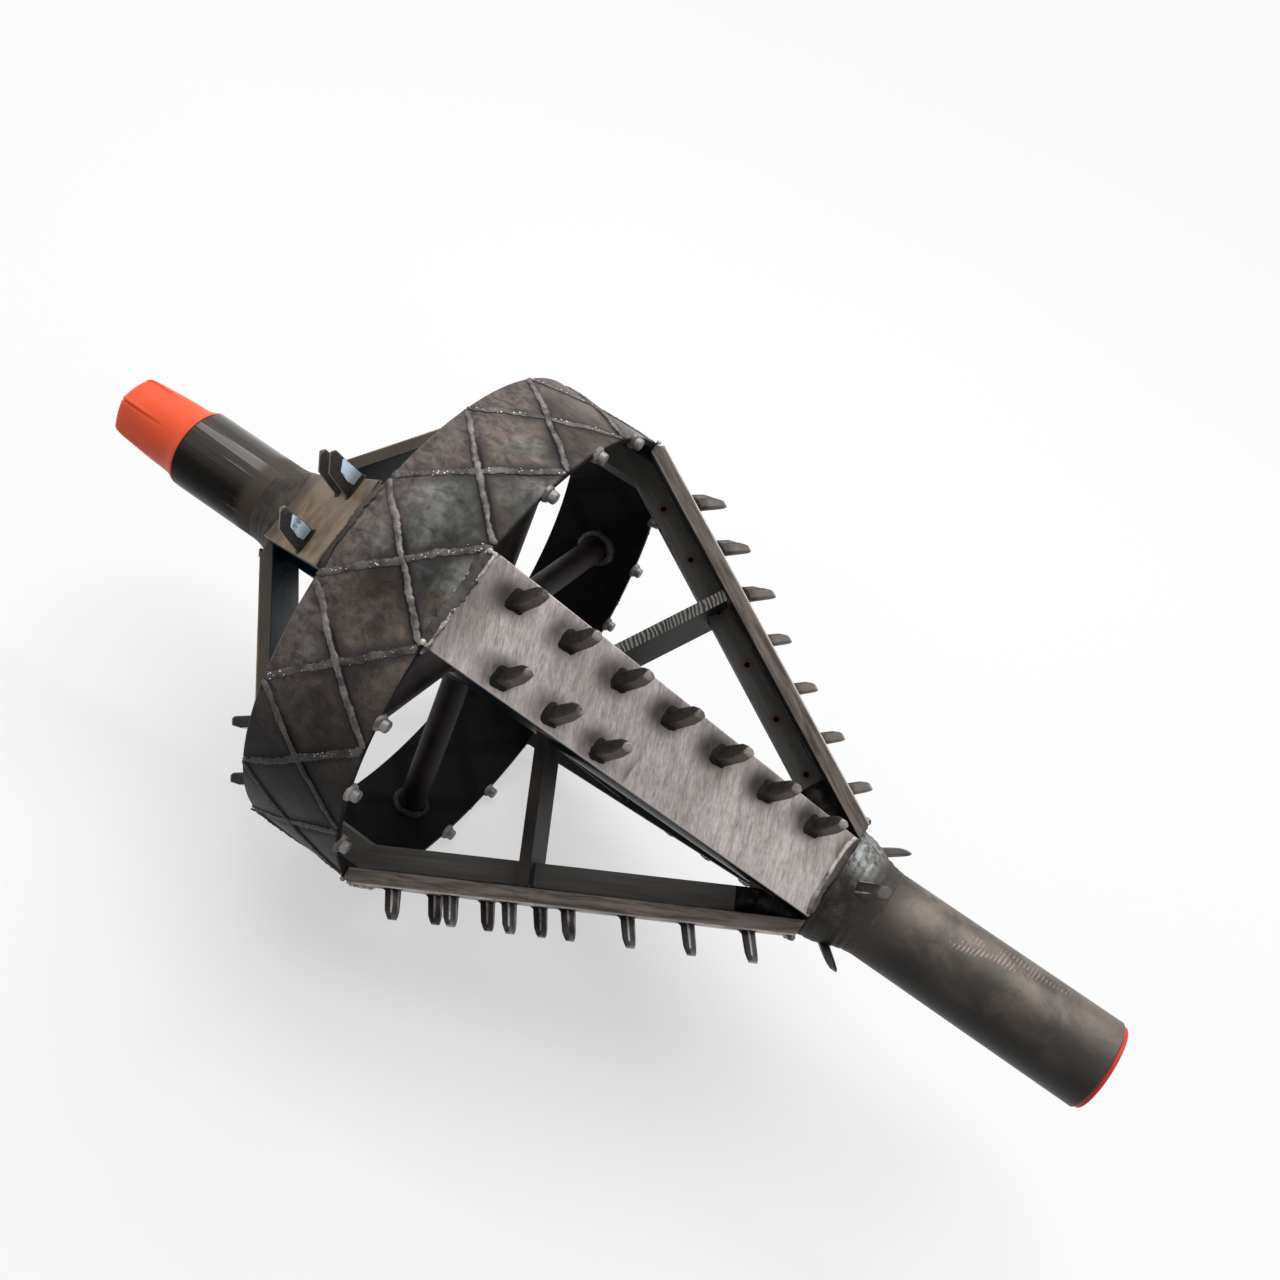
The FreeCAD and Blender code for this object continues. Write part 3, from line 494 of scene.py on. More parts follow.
def turned_shaft():
    """Tool-joint steel: browned, oiled, scuffed and bitten by tongs, with painted shade below."""
    finish = Finish("turned_shaft", "shaft_steel")
    x, angle = finish.spot[0], finish.angle()
    turning = finish.grain(x * 500, angle * 1.2, 0.0, 3.0, 0.6)
    oil = finish.cloud(13.0, 5.0, 0.6, 5.0, 0.8)
    grime = finish.cloud(55.0, 5.0, 0.7, 11.0, 0.4)
    scuff = finish.grain(x * 30, angle * 22, 0.0, 5.0, 0.75, 8.0)
    zone = finish.grain(x * 22, angle * 3.5, 0.0, 3.0, 0.5, 21.0)
    bite = (x * 1150 + angle * 12 + grime * 7).of("SINE").rise(0.1, 0.8)
    climb = 1.80 + (x + 0.25) * -4.2
    marked = (abs(angle - climb).rise(0.30, 0.16) * zone.rise(0.47, 0.56)
              * x.rise(-0.255, -0.24) * x.rise(-0.07, -0.085))
    root = (x + oil * 0.05).rise(-0.255, -0.310)
    base = (oil.rise(0.38, 0.62).between((0.052, 0.044, 0.038), (0.120, 0.098, 0.082))
            .shade(0.55 + turning * 0.4 + grime * 0.5)
            .laid(grime.rise(0.60, 0.72) * 0.5, (0.030, 0.025, 0.020))
            # painted light and shade: lighter towards the lit side, darker below
            .shade(finish.upper().rise(-0.050, 0.055) * 1.35 + 0.10)
            .laid(root * 0.75, (0.046, 0.038, 0.032))
            .laid(bite * marked * scuff.rise(0.3, 0.55) * 0.75, (0.36, 0.27, 0.26))
            .laid(scuff.rise(0.64, 0.74) * 0.4, (0.26, 0.235, 0.215)))
    return finish.set(base, 0.24 + oil * 0.2 + turning * 0.08 + grime * 0.1 + root * 0.15, 0.35,
                      turning * 0.3 + grime * 0.7 - bite * marked, 0.0004, 0.4,
                      specular_ior_level=0.35)


def black_paint():
    """Gloss black over turned steel, brown where it is thin, drawn lengthwise; painted shade
    below.
    """
    finish = Finish("black_paint", "black_paint")
    x, angle, upper = finish.spot[0], finish.angle(), finish.upper()
    drag = finish.grain(x * 5, angle * 20, 0.0, 4.0, 0.6)
    dust = finish.cloud(120.0, 4.0, 0.65, 3.0)
    lines = finish.grain(x * 6, angle * 34, 0.0, 2.0, 0.4, 14.0)
    breaks = finish.grain(x * 160, angle * 6, 0.0, 3.0, 0.6, 18.0)
    root = (x + drag * 0.02).rise(-1.405, -1.385)
    base = (drag.rise(0.38, 0.72).between((0.009, 0.007, 0.005), (0.050, 0.036, 0.022))
            # painted light and shade: lighter towards the lit side, darker below
            .shade(upper.rise(-0.045, 0.050) * 1.3 + 0.10)
            .laid(lines.rise(0.66, 0.72) * breaks.rise(0.34, 0.50) * 0.75, (0.46, 0.40, 0.31))
            .laid(dust.rise(0.66, 0.74) * 0.4, (0.16, 0.14, 0.12))
            .laid(root * 0.8, (0.085, 0.068, 0.055)))
    return finish.set(base, 0.16 + drag * 0.12 + dust * 0.08 + root * 0.3, 0.1,
                      drag * 0.5 + dust * 0.2, 0.0003, 0.3,
                      upper.rise(-0.020, 0.020) * 0.85 * (1.0 - root * 0.9),
                      coat_roughness=0.04, specular_ior_level=0.08)


def thread_steel():
    """Phosphated thread, dark grey under grease."""
    finish = Finish("phosphated_thread", "dark_steel")
    mottle = finish.cloud(60.0, 4.0, 0.6)
    grease = finish.cloud(22.0, 3.0, 0.6, 4.0).rise(0.5, 0.65)
    base = (mottle.between((0.045, 0.046, 0.048), (0.085, 0.085, 0.086))
            .laid(grease * 0.6, (0.05, 0.032, 0.016)))
    return finish.set(base, 0.42 - grease * 0.2, 0.5, mottle, 0.0003, 0.3)


def weld_metal(name, shade):
    """Weld metal: tinted ripples with bright beads of spatter, with painted shade below."""
    finish = Finish(name, "weld_metal")
    ripple = finish.cloud(260.0, 4.0, 0.65)
    tone = finish.cloud(45.0, 4.0, 0.6, 3.0)
    spark = finish.cells(190.0).rise(0.16, 0.06) * tone.rise(0.52, 0.6)
    dark, light = [tuple(part * shade for part in colour)
                   for colour in ((0.055, 0.051, 0.051), (0.225, 0.202, 0.186))]
    base = (tone.rise(0.35, 0.65).between(dark, light)
            .shade(0.45 + ripple * 1.1)
            .laid(spark * min(1.0, shade), (0.62, 0.60, 0.57))
            # painted shade towards the side away from the light, left off the brightest welds
            .with_painted_shade(0.80 if shade < 1.5 else 0.0))
    return finish.set(base, 0.4 + tone * 0.2 - spark * 0.2, 0.3 if shade > 0.3 else 0.0,
                      ripple + spark * 0.6, 0.0009, 0.6,
                      specular_ior_level=0.3 if shade > 0.3 else 0.08)


def nose_weld():
    """Weld over the wing ends: dark brown, silver where it is fresh, with painted shade below."""
    finish = Finish("nose_weld", "weld_metal")
    x = finish.spot[0]
    between = abs((finish.angle() * (180 / math.pi) - NEAR_ANGLE + 135.0) % 180.0 - 90.0)
    flow = finish.cloud(55.0, 5.0, 0.6, 8.0, 1.4)
    tone = finish.cloud(26.0, 5.0, 0.65, 3.0, 0.5)
    ripple = finish.cloud(210.0, 4.0, 0.65)
    fresh = ((between + (flow - 0.5) * 60).rise(42.0, 14.0)
             * (x + (flow - 0.5) * 0.06).rise(WING_NOSE + 0.060, WING_NOSE + 0.030)
             * flow.rise(0.36, 0.58))
    spark = (finish.cells(210.0).rise(0.20, 0.08) * tone.rise(0.50, 0.58)
             * x.rise(WING_NOSE + 0.050, WING_NOSE + 0.030))
    silver = ripple.between((0.11, 0.13, 0.125), (0.37, 0.385, 0.38))
    base = (tone.rise(0.38, 0.64).between((0.016, 0.013, 0.011), (0.105, 0.086, 0.070))
            .shade(0.55 + ripple * 0.9)
            .laid(fresh * 0.85, silver)
            .laid(spark * 0.8, (0.62, 0.60, 0.57))
            # painted light and shade: lighter towards the lit side, darker below
            .shade(finish.upper().rise(-0.070, 0.055) * 1.1 + 0.25)
            .laid((x + tone * 0.012).rise(WING_NOSE + 0.040, WING_NOSE + 0.068) * 0.85,
                  (0.046, 0.038, 0.032)))
    return finish.set(base, 0.44 + tone * 0.2 - fresh * 0.12, 0.15 + fresh * 0.35,
                      ripple + spark * 0.7, 0.0010, 0.6, specular_ior_level=0.25)


def tooth_highlight_lines(finish):
    """Painted highlights along two upright edges of the leaning wing teeth."""
    x, y, z = finish.spot
    lines = []
    for first, pitch, offset, *rest in WING_ROWS:
        step = (x - z * 0.26 - first + pitch * 0.5) % pitch - pitch * 0.5
        reach = y - z * 0.54 - offset
        front = abs(step - 0.0012).rise(0.0020, 0.0008) * reach.rise(0.0082, 0.0092)
        far = step.rise(0.0072, 0.0080) * abs(reach - 0.0014).rise(0.0020, 0.0008)
        lines.append((front | far) * (abs(reach) < 0.014))
    return lines[0] | lines[1]


def nose_highlight_lines(finish):
    """Painted highlights along the worn upright edges of a nose tooth."""
    x, y, z = finish.spot
    return abs(x - z * 1.32).rise(0.0078, 0.0090) * abs(y - z * 0.655).rise(0.0064, 0.0076)


def tooth_steel(name, top, lines=None, tone=1.0):
    """Forged tooth: dark, with painted light on its faces turned to +x and +z, bare on its upper
    edge.
    """
    finish = Finish(name, "tooth_steel")
    x, y, z = finish.spot
    facing_x, facing_y, facing_z = finish.axes(finish.node("ShaderNodeTexCoord", output="Normal"))
    mottle = finish.cloud(110.0, 5.0, 0.65)
    broad = finish.cloud(30.0, 3.0, 0.5, 4.0)
    aside = facing_y.rise(0.30, 0.50)
    # painted light: faces turned towards +x and +z above mid height, and faces turned towards +y,
    # are drawn lit, brown on most and grey on the +y faces; the rest stays dark as shade
    front = (facing_x * 0.7 + facing_z * 0.7 + (broad - 0.5) * 0.6).rise(0.0, 0.5)
    front = front * ((z + broad * 0.01).rise(top * 0.35, top * 0.65) | aside)
    browned = mottle.between((0.080, 0.068, 0.056), (0.205, 0.170, 0.145))
    steel = mottle.between((0.140, 0.140, 0.138), (0.330, 0.330, 0.325))
    worn = (z + mottle * 0.003).rise(top - 0.0016, top + 0.0002)
    base = (mottle.rise(0.35, 0.7).between((0.014, 0.011, 0.010), (0.042, 0.033, 0.028))
            .laid(front * 0.9 * tone, aside.between(browned, steel)))
    if lines:
        # painted highlights along chosen upright edges
        base = base.laid(lines(finish) * broad.rise(0.32, 0.5) * 0.8, (0.62, 0.62, 0.62))
    base = base.laid(worn * broad.rise(0.40, 0.6) * 0.85 * tone, (0.42, 0.39, 0.36))
    return finish.set(base, 0.34 + mottle * 0.22 - worn * 0.06, 0.2, mottle, 0.0014, 0.6,
                      specular_ior_level=0.3)


def spatter_metal():
    """Drops of spatter, bright, with painted shade towards the side away from the light."""
    finish = Finish("spatter", "weld_metal")
    tone = finish.cloud(30.0, 3.0, 0.5)
    # painted shade towards the side away from the light
    base = tone.rise(0.4, 0.62).between((0.16, 0.15, 0.145), (0.72, 0.70, 0.66)).with_painted_shade(0.85)
    return finish.set(base, 0.30 + tone * 0.2, 0.7, tone, 0.0003, 0.2)


def polished_face():
    """Cutting face of a slab tooth, polished, with a painted blue reflection of the sky."""
    finish = Finish("polished_face", "tooth_steel")
    x, y, z = finish.spot
    streak = finish.grain(x * 60, y * 200, z * 60, 4.0, 0.65)
    smudge = finish.cloud(70.0, 4.0, 0.6, 5.0)
    # painted reflection of the sky: blue streaks, lighter towards the top
    base = (streak.between((0.34, 0.45, 0.58), (0.70, 0.82, 0.94))
            .shade(0.65 + z.rise(0.004, 0.024) * 0.5)
            .laid(smudge.rise(0.54, 0.66) * 0.75, (0.08, 0.10, 0.13)))
    return finish.set(base, 0.28 + streak * 0.15, 0.45, streak, 0.0004, 0.3)


def stud_metal():
    """Sintered stud: even grey with fine pits and a rusty rim."""
    finish = Finish("sintered_stud", "stud_metal")
    pits = finish.cloud(420.0, 3.0, 0.6)
    tone = finish.cloud(60.0, 3.0, 0.6, 2.0)
    base = (tone.between((0.13, 0.125, 0.12), (0.31, 0.30, 0.29))
            .laid(pits.rise(0.6, 0.7) * 0.4, (0.07, 0.05, 0.04)))
    return finish.set(base, 0.34 + pits * 0.2, 0.55, pits, 0.0004, 0.4)


def moulded(name, slot, colour, deep):
    """Moulded thread protector, satin, a little dusty."""
    finish = Finish(name, slot)
    grain = finish.cloud(900.0, 2.0, 0.5)
    flow = finish.cloud(16.0, 4.0, 0.6, 2.0, 0.6)
    grime = finish.cloud(40.0, 5.0, 0.7, 5.0).rise(0.6, 0.78)
    base = flow.between(deep, colour).laid(grime * 0.35, (0.35, 0.10, 0.05))
    return finish.set(base, 0.36 + flow * 0.14 + grime * 0.15, 0.0, grain + flow * 0.5, 0.00025,
                      0.35, specular_ior_level=0.22)


def shown_rays(tree):
    """1 for rays that show the background: to the camera, mirrors and glass."""
    path = tree.nodes.new("ShaderNodeLightPath")
    shown = path.outputs["Is Camera Ray"]
    for name in ("Is Glossy Ray", "Is Transmission Ray"):
        join = tree.nodes.new("ShaderNodeMath")
        join.operation = "MAXIMUM"
        tree.links.new(shown, join.inputs[0])
        tree.links.new(path.outputs[name], join.inputs[1])
        shown = join.outputs[0]
    return shown


def floor_paint():
    """Pale floor that sends little of its light back up."""
    finish = Finish("pale_floor")
    tone = finish.cloud(1.3, 3.0, 0.5)
    finish.set(tone.between((0.915, 0.915, 0.915), (0.945, 0.945, 0.945)), 0.85, 0.0)
    dull = finish.node("ShaderNodeBsdfDiffuse", {}, {"Color": (0.30, 0.30, 0.30, 1)})
    white = finish.node("ShaderNodeEmission", {}, {"Color": (1, 1, 1, 1), "Strength": 0.97})
    shown = finish.node("ShaderNodeMixShader", {},
                        {0: 0.55, 1: finish.shader.outputs[0], 2: white})
    mixed = finish.node("ShaderNodeMixShader", {},
                        {0: shown_rays(finish.tree), 1: dull, 2: shown})
    finish.feed(finish.surface, 0, mixed)
    return finish


GROUND = ground_plate()
ROLLED = rolled_band()
BROWNED = rear_plate_steel()
BLUED = mill_scale("blued_pipe", "dark_steel", (0.004, 0.009, 0.016), (0.012, 0.028, 0.045), 0.8)
SPOKED = mill_scale("spoke_scale", "dark_steel", (0.010, 0.008, 0.008), (0.042, 0.030, 0.029))
PIPE = pipe_scale()
BAR = flame_cut()
TURNED = turned_shaft()
PAINT = black_paint()
THREAD = thread_steel()
WELD = weld_metal("bead_weld", 1.15)
BRIGHT_WELD = weld_metal("fresh_weld", 1.8)
CREAM_WELD = weld_metal("cream_weld", 2.9)
DARK_WELD = weld_metal("sooted_weld", 0.5)
ROOT_WELD = weld_metal("root_weld", 0.09)
FLAT_WELD = weld_metal("flat_weld", 0.62)
NOSE_WELD = nose_weld()
SEAM_WELD = mill_scale("seam_weld", "weld_metal", (0.030, 0.027, 0.024), (0.160, 0.146, 0.132))
BROWN_WELD = mill_scale("browned_weld", "weld_metal", (0.022, 0.018, 0.015),
                        (0.120, 0.098, 0.080))
SPATTER = spatter_metal()
POLISHED = polished_face()
WING_TOOTH_STEEL = tooth_steel("forged_wing_tooth", 0.0405, tooth_highlight_lines)
REAR_TOOTH_STEEL = tooth_steel("forged_rear_tooth", 0.0495, tone=0.30)
NOSE_TOOTH_STEEL = tooth_steel("forged_nose_tooth", 0.0328, nose_highlight_lines, 0.25)
STUD = stud_metal()
ORANGE = moulded("orange_protector", "orange_plastic", (1.00, 0.150, 0.062),
                 (0.98, 0.100, 0.034))
RED = moulded("red_protector", "red_plastic", (0.88, 0.045, 0.035), (0.74, 0.028, 0.022))


# Mesh helpers

def shown(name, data):
    """New object, put in the scene."""
    thing = bpy.data.objects.new(name, data)
    bpy.context.scene.collection.objects.link(thing)
    return thing


def circle(count, phase=0.0):
    """Cosine and sine of evenly spaced directions, the first one again at the end."""
    turns = [2 * math.pi * step / count + phase for step in range(count + 1)]
    return [(math.cos(turn), math.sin(turn)) for turn in turns]


def spread(half):
    """Numbered shares from -1 to 1."""
    return [(step, step / half - 1) for step in range(2 * half + 1)]


def uneven(point, scale, seed=0.0):
    """Even noise from -1 to 1 at a point."""
    return noise.noise(Vector(point) * scale + Vector((seed, seed * 1.7, seed * 0.6)))


def radial(point):
    return Vector((0, point.y, point.z))


class Form:
    """Vertices and faces of one piece, gathered from closed parts."""

    def __init__(self):
        self.points = []
        self.faces = []

    def loft(self, rings, closed=False):
        """Skin over rings of equal count, capped unless it closes on itself."""
        start = len(self.points)
        count = len(rings[0])
        for ring in rings:
            self.points.extend(ring)
        for row in range(len(rings) if closed else len(rings) - 1):
            here = start + row * count
            there = start + (row + 1) % len(rings) * count
            for step in range(count):
                after = (step + 1) % count
                self.faces.append((here + step, here + after, there + after, there + step))
        if not closed:
            last = start + (len(rings) - 1) * count
            self.faces.append(tuple(range(start + count - 1, start - 1, -1)))
            self.faces.append(tuple(range(last, last + count)))

    def lathe(self, profile, steps, reshape=None):
        """Closed half section (x, radius) turned about the tool axis."""
        rings = []
        for turn in range(steps):
            angle = 360 * turn / steps
            section = [reshape(*spot, angle) for spot in profile] if reshape else profile
            rings.append([on_axis(x, radius, angle) for x, radius in section])
        self.loft(rings, closed=True)

    def make(self, name, finish, body="tool", place=None, nodes=(), crease=40, bevel=None):
        """Piece from the gathered parts, in its finish, on its body."""
        mesh = bpy.data.meshes.new(name)
        mesh.from_pydata([tuple(point) for point in self.points], [], self.faces)
        shell = bmesh.new()
        shell.from_mesh(mesh)
        bmesh.ops.remove_doubles(shell, verts=shell.verts, dist=1e-6)
        bmesh.ops.recalc_face_normals(shell, faces=shell.faces)
        shell.to_mesh(mesh)
        shell.free()
        mesh.shade_smooth()
        if crease:
            mesh.set_sharp_from_angle(angle=math.radians(crease))
        piece = shown(name, mesh)
        if place:
            piece.matrix_world = place
        if bevel:
            soften = piece.modifiers.new("edges", "BEVEL")
            soften.width, soften.segments = bevel, 2
            soften.limit_method = "ANGLE"
            soften.angle_limit = math.radians(35)
            soften.harden_normals = False
        mesh.materials.append(finish.material)
        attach(piece, body)
        if nodes:
            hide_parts(*nodes)


BEAD_STEP = 0.0019
BEAD_SUNK = 0.35


def walk(path):
    """Evenly spaced points along a polyline, and its length."""
    lengths = [0.0]
    for first, second in zip(path, path[1:]):
        lengths.append(lengths[-1] + (second - first).length)
    count = max(2, round(lengths[-1] / BEAD_STEP))
    points = []
    leg = 0
    for number in range(count + 1):
        run = lengths[-1] * number / count
        while leg < len(path) - 2 and run > lengths[leg + 1]:
            leg += 1
        share = (run - lengths[leg]) / max(1e-9, lengths[leg + 1] - lengths[leg])
        points.append(path[leg].lerp(path[leg + 1], share))
    return points, lengths[-1]


def bead(form, path, outward, width, height, seed, pitch=0.0055, closed=False, wander=0.0012,
         grain=0.15, wave=0.16, ragged=1.0, reach=None):
    """Weld bead along a path: a low ridge with crescent ripples.

    outward is the direction out of the surface, or gives it at a point, and
    reach is the largest radius from the axis.
    """
    points, total = walk(path)
    if closed:
        points = points[:-1]
    rings = []
    size = len(points)
    for number, point in enumerate(points):
        before = points[number - 1] if closed or number else point
        after = points[(number + 1) % size] if closed or number < size - 1 else point
        tangent = (after - before).normalized()
        normal = (outward(point) if callable(outward) else outward).normalized()
        side = tangent.cross(normal).normalized()
        run = total * number / size
        swell = 1 + ragged * (0.22 * uneven(point, 45, seed) + 0.12 * uneven(point, 150, seed + 3))
        if not closed:
            swell *= min(1.0, 0.35 + min(run, total - run) / width)
        centre = point + side * wander * uneven(point, 30, seed + 9) * 2
        ring = []
        for lateral, up in circle(10)[:-1]:
            phase = (run - 0.5 * width * lateral * lateral) / pitch % 1.0
            ripple = 1 + wave * (phase - 0.5)
            lift = up * height * (ripple if up > 0 else BEAD_SUNK)
            spot = centre + side * lateral * width / 2 * swell
            if up > 0:
                lift += up * height * grain * uneven(spot, 420, seed + 5)
            jag = side * lateral * width * 0.3 * grain * uneven(spot, 200, seed + 7)
            spot = spot + jag + normal * lift * swell
            wide = math.hypot(spot.y, spot.z)
            if reach and wide > reach:
                spot = Vector((spot.x, spot.y * reach / wide, spot.z * reach / wide))
            ring.append(spot)
        rings.append(ring)
    form.loft(rings, closed)


def drop(form, centre, outward, radius, seed):
    """Small round drop of spatter, half sunk."""
    normal = outward.normalized()
    side = normal.cross(Vector((1, 0.3, 0.2))).normalized()
    other = normal.cross(side)
    form.loft([[centre + normal * lift * radius + side * cos * wide * radius
                + other * sin * wide * radius for cos, sin in circle(7, seed)[:-1]]
               for lift, wide in ((-0.5, 0.75), (0.0, 1.0), (0.55, 0.78), (0.85, 0.3))])


# Ring band and its crossing beads

def make_band():
    inner, lip = BAND_RADIUS - BAND_WALL, 0.0015
    profile = [(BAND_REAR, inner), (BAND_REAR, BAND_SKIN - lip), (BAND_REAR + lip, BAND_SKIN)]
    profile += [(BAND_REAR + BAND_WIDTH * step / 16, BAND_SKIN) for step in range(1, 16)]
    profile += [(BAND_FRONT - lip, BAND_SKIN), (BAND_FRONT, BAND_SKIN - lip), (BAND_FRONT, inner)]

    def hammered(x, radius, angle):
        return x, radius + 0.0005 * uneven(on_axis(x, radius, angle), 9, 4) - 0.0005

    form = Form()
    form.lathe(profile, 288, hammered)
    form.make("ring_band_plate", ROLLED, nodes=["ring_band"])


def make_crossing_beads():
    """Sixteen crossings: a heavy rippled bead over a flat spattered one."""
    heavy, flat, drops = Form(), Form(), Form()
    surface = BAND_RADIUS - 0.0031
    chance = random.Random(27)
    for number in range(CROSSINGS):
        middle = NEAR_ANGLE + CROSSING_TURN * number
        for lean in (-1, 1):
            path = []
            for step in range(13):
                share = step / 12 - 0.5
                sway = 0.55 * uneven((number * 3.1, lean * 2.3, step * 0.45), 1.0)
                path.append(on_axis(BAND_MIDDLE + 0.155 * share, surface,
                                    middle + lean * 22.0 * share + sway))
            if lean > 0:
                bead(heavy, path, radial, 0.0088, 0.0023, number + 20, pitch=0.0044,
                     grain=0.6, wave=0.55, ragged=1.3, reach=BAND_RADIUS - 0.0001)
                continue
            bead(flat, path, radial, 0.0100, 0.0012, number - 20, pitch=0.007,
                 wander=0.0014, grain=0.8)
            for count in range(46):
                share = chance.random()
                leg = min(11, int(share * 12))
                spot = path[leg].lerp(path[leg + 1], share * 12 - leg)
                spot = spot + Vector((chance.gauss(0, 0.0030), 0, 0))
                out = radial(spot).normalized()
                spot = out * (surface + 0.0006) + Vector((spot.x, 0, 0))
                if abs(spot.x - BAND_MIDDLE) < 0.076:
                    drop(drops, spot, out, chance.uniform(0.0006, 0.0016), count)
    heavy.make("band_heavy_beads", WELD, crease=None)
    flat.make("band_flat_beads", FLAT_WELD, crease=None)
    drops.make("band_spatter", SPATTER, crease=None)


# Wing plates and rear plates

def seat_height(radius, outer, slope, along, aside):
    """Height of a round skin above a plate's outer face, where it is below it."""
    reach = math.sqrt(radius ** 2 - aside ** 2)
    return min(0.0, (reach - outer + along * math.sin(slope)) / math.cos(slope))


def make_plate(name, node, finish, place, length, halves, thick, slope, outer):
    """Tapered plate, mitred square to the axis and trimmed to the band."""
    shift = thick * math.tan(slope)
    stations = [0.0, 0.003, 0.006, 0.010, 0.014, 0.018, 0.024]
    stations += [0.024 + (length - 0.024) * share / 6 for share in range(1, 7)]
    rings = []
    for station in stations:
        top, low = [], []
        half = halves[0] + (halves[1] - halves[0]) * station / (length + shift)
        for step, share in spread(6):
            aside = share * half
            height = seat_height(BAND_RADIUS - 0.0006, outer, slope, station, aside)
            top.append(Vector((station - height * math.tan(slope), aside, height)))
            low.append(Vector((station + shift, aside, -thick)))
        rings.append(top + low[::-1])
    form = Form()
    form.loft(rings)
    form.make(name, finish, place=place, nodes=[node], bevel=PLATE_BEVEL)


def make_plates():
    for number in range(WINGS):
        wing, rear = "wing_plate_%d" % (number + 1), "rear_plate_%d" % (number + 1)
        make_plate(wing + "_ground", wing, GROUND, wing_frame(number), WING_LENGTH, WING_HALVES,
                   WING_THICK, WING_SLOPE, WING_OUTER)
        make_plate(rear + "_browned", rear, BROWNED, rear_frame(number), REAR_LENGTH,
                   REAR_HALVES, REAR_THICK, REAR_SLOPE, BAND_RADIUS)


# Teeth: leaning blocks with clipped corners, each in a collar of weld.
# A section of a block: height, lean along and aside, half length and width.

WING_TOOTH = ((-0.001, 0, 0, 0.0092, 0.0112), (0.010, 0.0025, 0.0054, 0.0090, 0.0108),
              (0.029, 0.0072, 0.0155, 0.0084, 0.0100), (0.0360, 0.0095, 0.0195, 0.0072, 0.0068),
              (0.0408, 0.0108, 0.0219, 0.0056, 0.0036))
NOSE_TOOTH = ((0.000, 0, 0, 0.0120, 0.0100), (0.012, 0.0157, 0.0078, 0.0110, 0.0096),
              (0.023, 0.0300, 0.0150, 0.0102, 0.0094), (0.0290, 0.0380, 0.0188, 0.0086, 0.0088),
              (0.0328, 0.0430, 0.0216, 0.0052, 0.0074))
# Side view of a slab tooth and of its polished face: aside, height
SLAB_OUTLINE = ((0.0170, -0.001), (0.0140, 0.012), (0.0070, 0.036), (-0.0150, 0.0505),
                (-0.0208, 0.0470), (-0.0190, 0.030), (-0.0170, -0.001))
SLAB_FACE = ((0.0010, 0.0045), (0.0025, 0.0140), (-0.0025, 0.0285), (-0.0165, 0.0360),
             (-0.0182, 0.0350), (-0.0176, 0.0200), (-0.0158, 0.0045))
# Layers through a slab tooth: side view, depth, and how far it is drawn in
SLAB_BODY = ((SLAB_FACE, -0.0088, 1.0), (SLAB_OUTLINE, -0.0040, 0.97),
             (SLAB_OUTLINE, -0.0030, 1.0), (SLAB_OUTLINE, 0.0062, 1.0),
             (SLAB_OUTLINE, 0.0088, 0.87))
SLAB_POLISH = ((SLAB_FACE, -0.0080, 0.95), (SLAB_FACE, -0.0090, 0.95),
               (SLAB_FACE, -0.0092, 0.90))


def block(form, seat, sections, corner, clip=0.0):
    """Block over its sections; clip takes a wide bevel off the corner at +x, +y."""
    rings = []
    for height, along, aside, half_long, half_wide in sections:
        cut = min(corner, 0.7 * half_long, 0.7 * half_wide)
        wide = max(cut, clip * half_wide)
        deep = max(cut, clip * half_long)
        outline = ((-half_long, -half_wide + cut), (-half_long + cut, -half_wide),
                   (half_long - cut, -half_wide), (half_long, -half_wide + cut),
                   (half_long, half_wide - wide), (half_long - deep, half_wide),
                   (-half_long + cut, half_wide), (-half_long, half_wide - cut))
        rings.append([Vector((seat[0] + along + x, seat[1] + aside + y, height))
                      for x, y in outline])
    form.loft(rings)


def slab(form, seat, layers):
    """Slab tooth over its layers, each drawn in about its middle."""
    rings = []
    for outline, x, scale in layers:
        middle_y, middle_z = [sum(side) / len(outline) for side in zip(*outline)]
        rings.append([Vector((seat[0] + x, seat[1] + middle_y + (y - middle_y) * scale,
                              z if z < 0 else middle_z + (z - middle_z) * scale))
                      for y, z in outline])
    form.loft(rings)


def root_skirt(form, seat, half_wide, spread_out, height, seed, trail=0.0):
    """Lumpy mound of weld round the root of a tooth, longer towards -x."""
    rings = []
    for lift, share in ((-0.0006, 1.15), (0.0004, 1.0), (0.18, 0.80), (0.42, 0.52),
                        (0.72, 0.26), (1.0, 0.0)):
        ring = []
        for x, y in circle(40)[:-1]:
            grow = 1 / (abs(x) ** 4 + abs(y) ** 4) ** 0.25
            spot = Vector((seat[0] + x * 0.02, seat[1] + y * 0.02, seed))
            bump = 1 + 0.35 * uneven(spot, 90, seed) + 0.22 * uneven(spot, 260, seed + 4)
            reach = spread_out * share * bump + trail * share * max(0.0, -x) - 0.0012
            z = lift if lift < 0.001 else lift * height * (1 + 0.3 * uneven(spot, 120, seed + 8))
            z += 0.0005 * uneven(spot + Vector((0, 0, lift)), 420, seed + 2) * (share > 0)
            ring.append(Vector((seat[0] + x * grow * (0.0088 + reach),
                                seat[1] + y * grow * (half_wide + reach), z)))
        rings.append(ring)
    form.loft(rings)


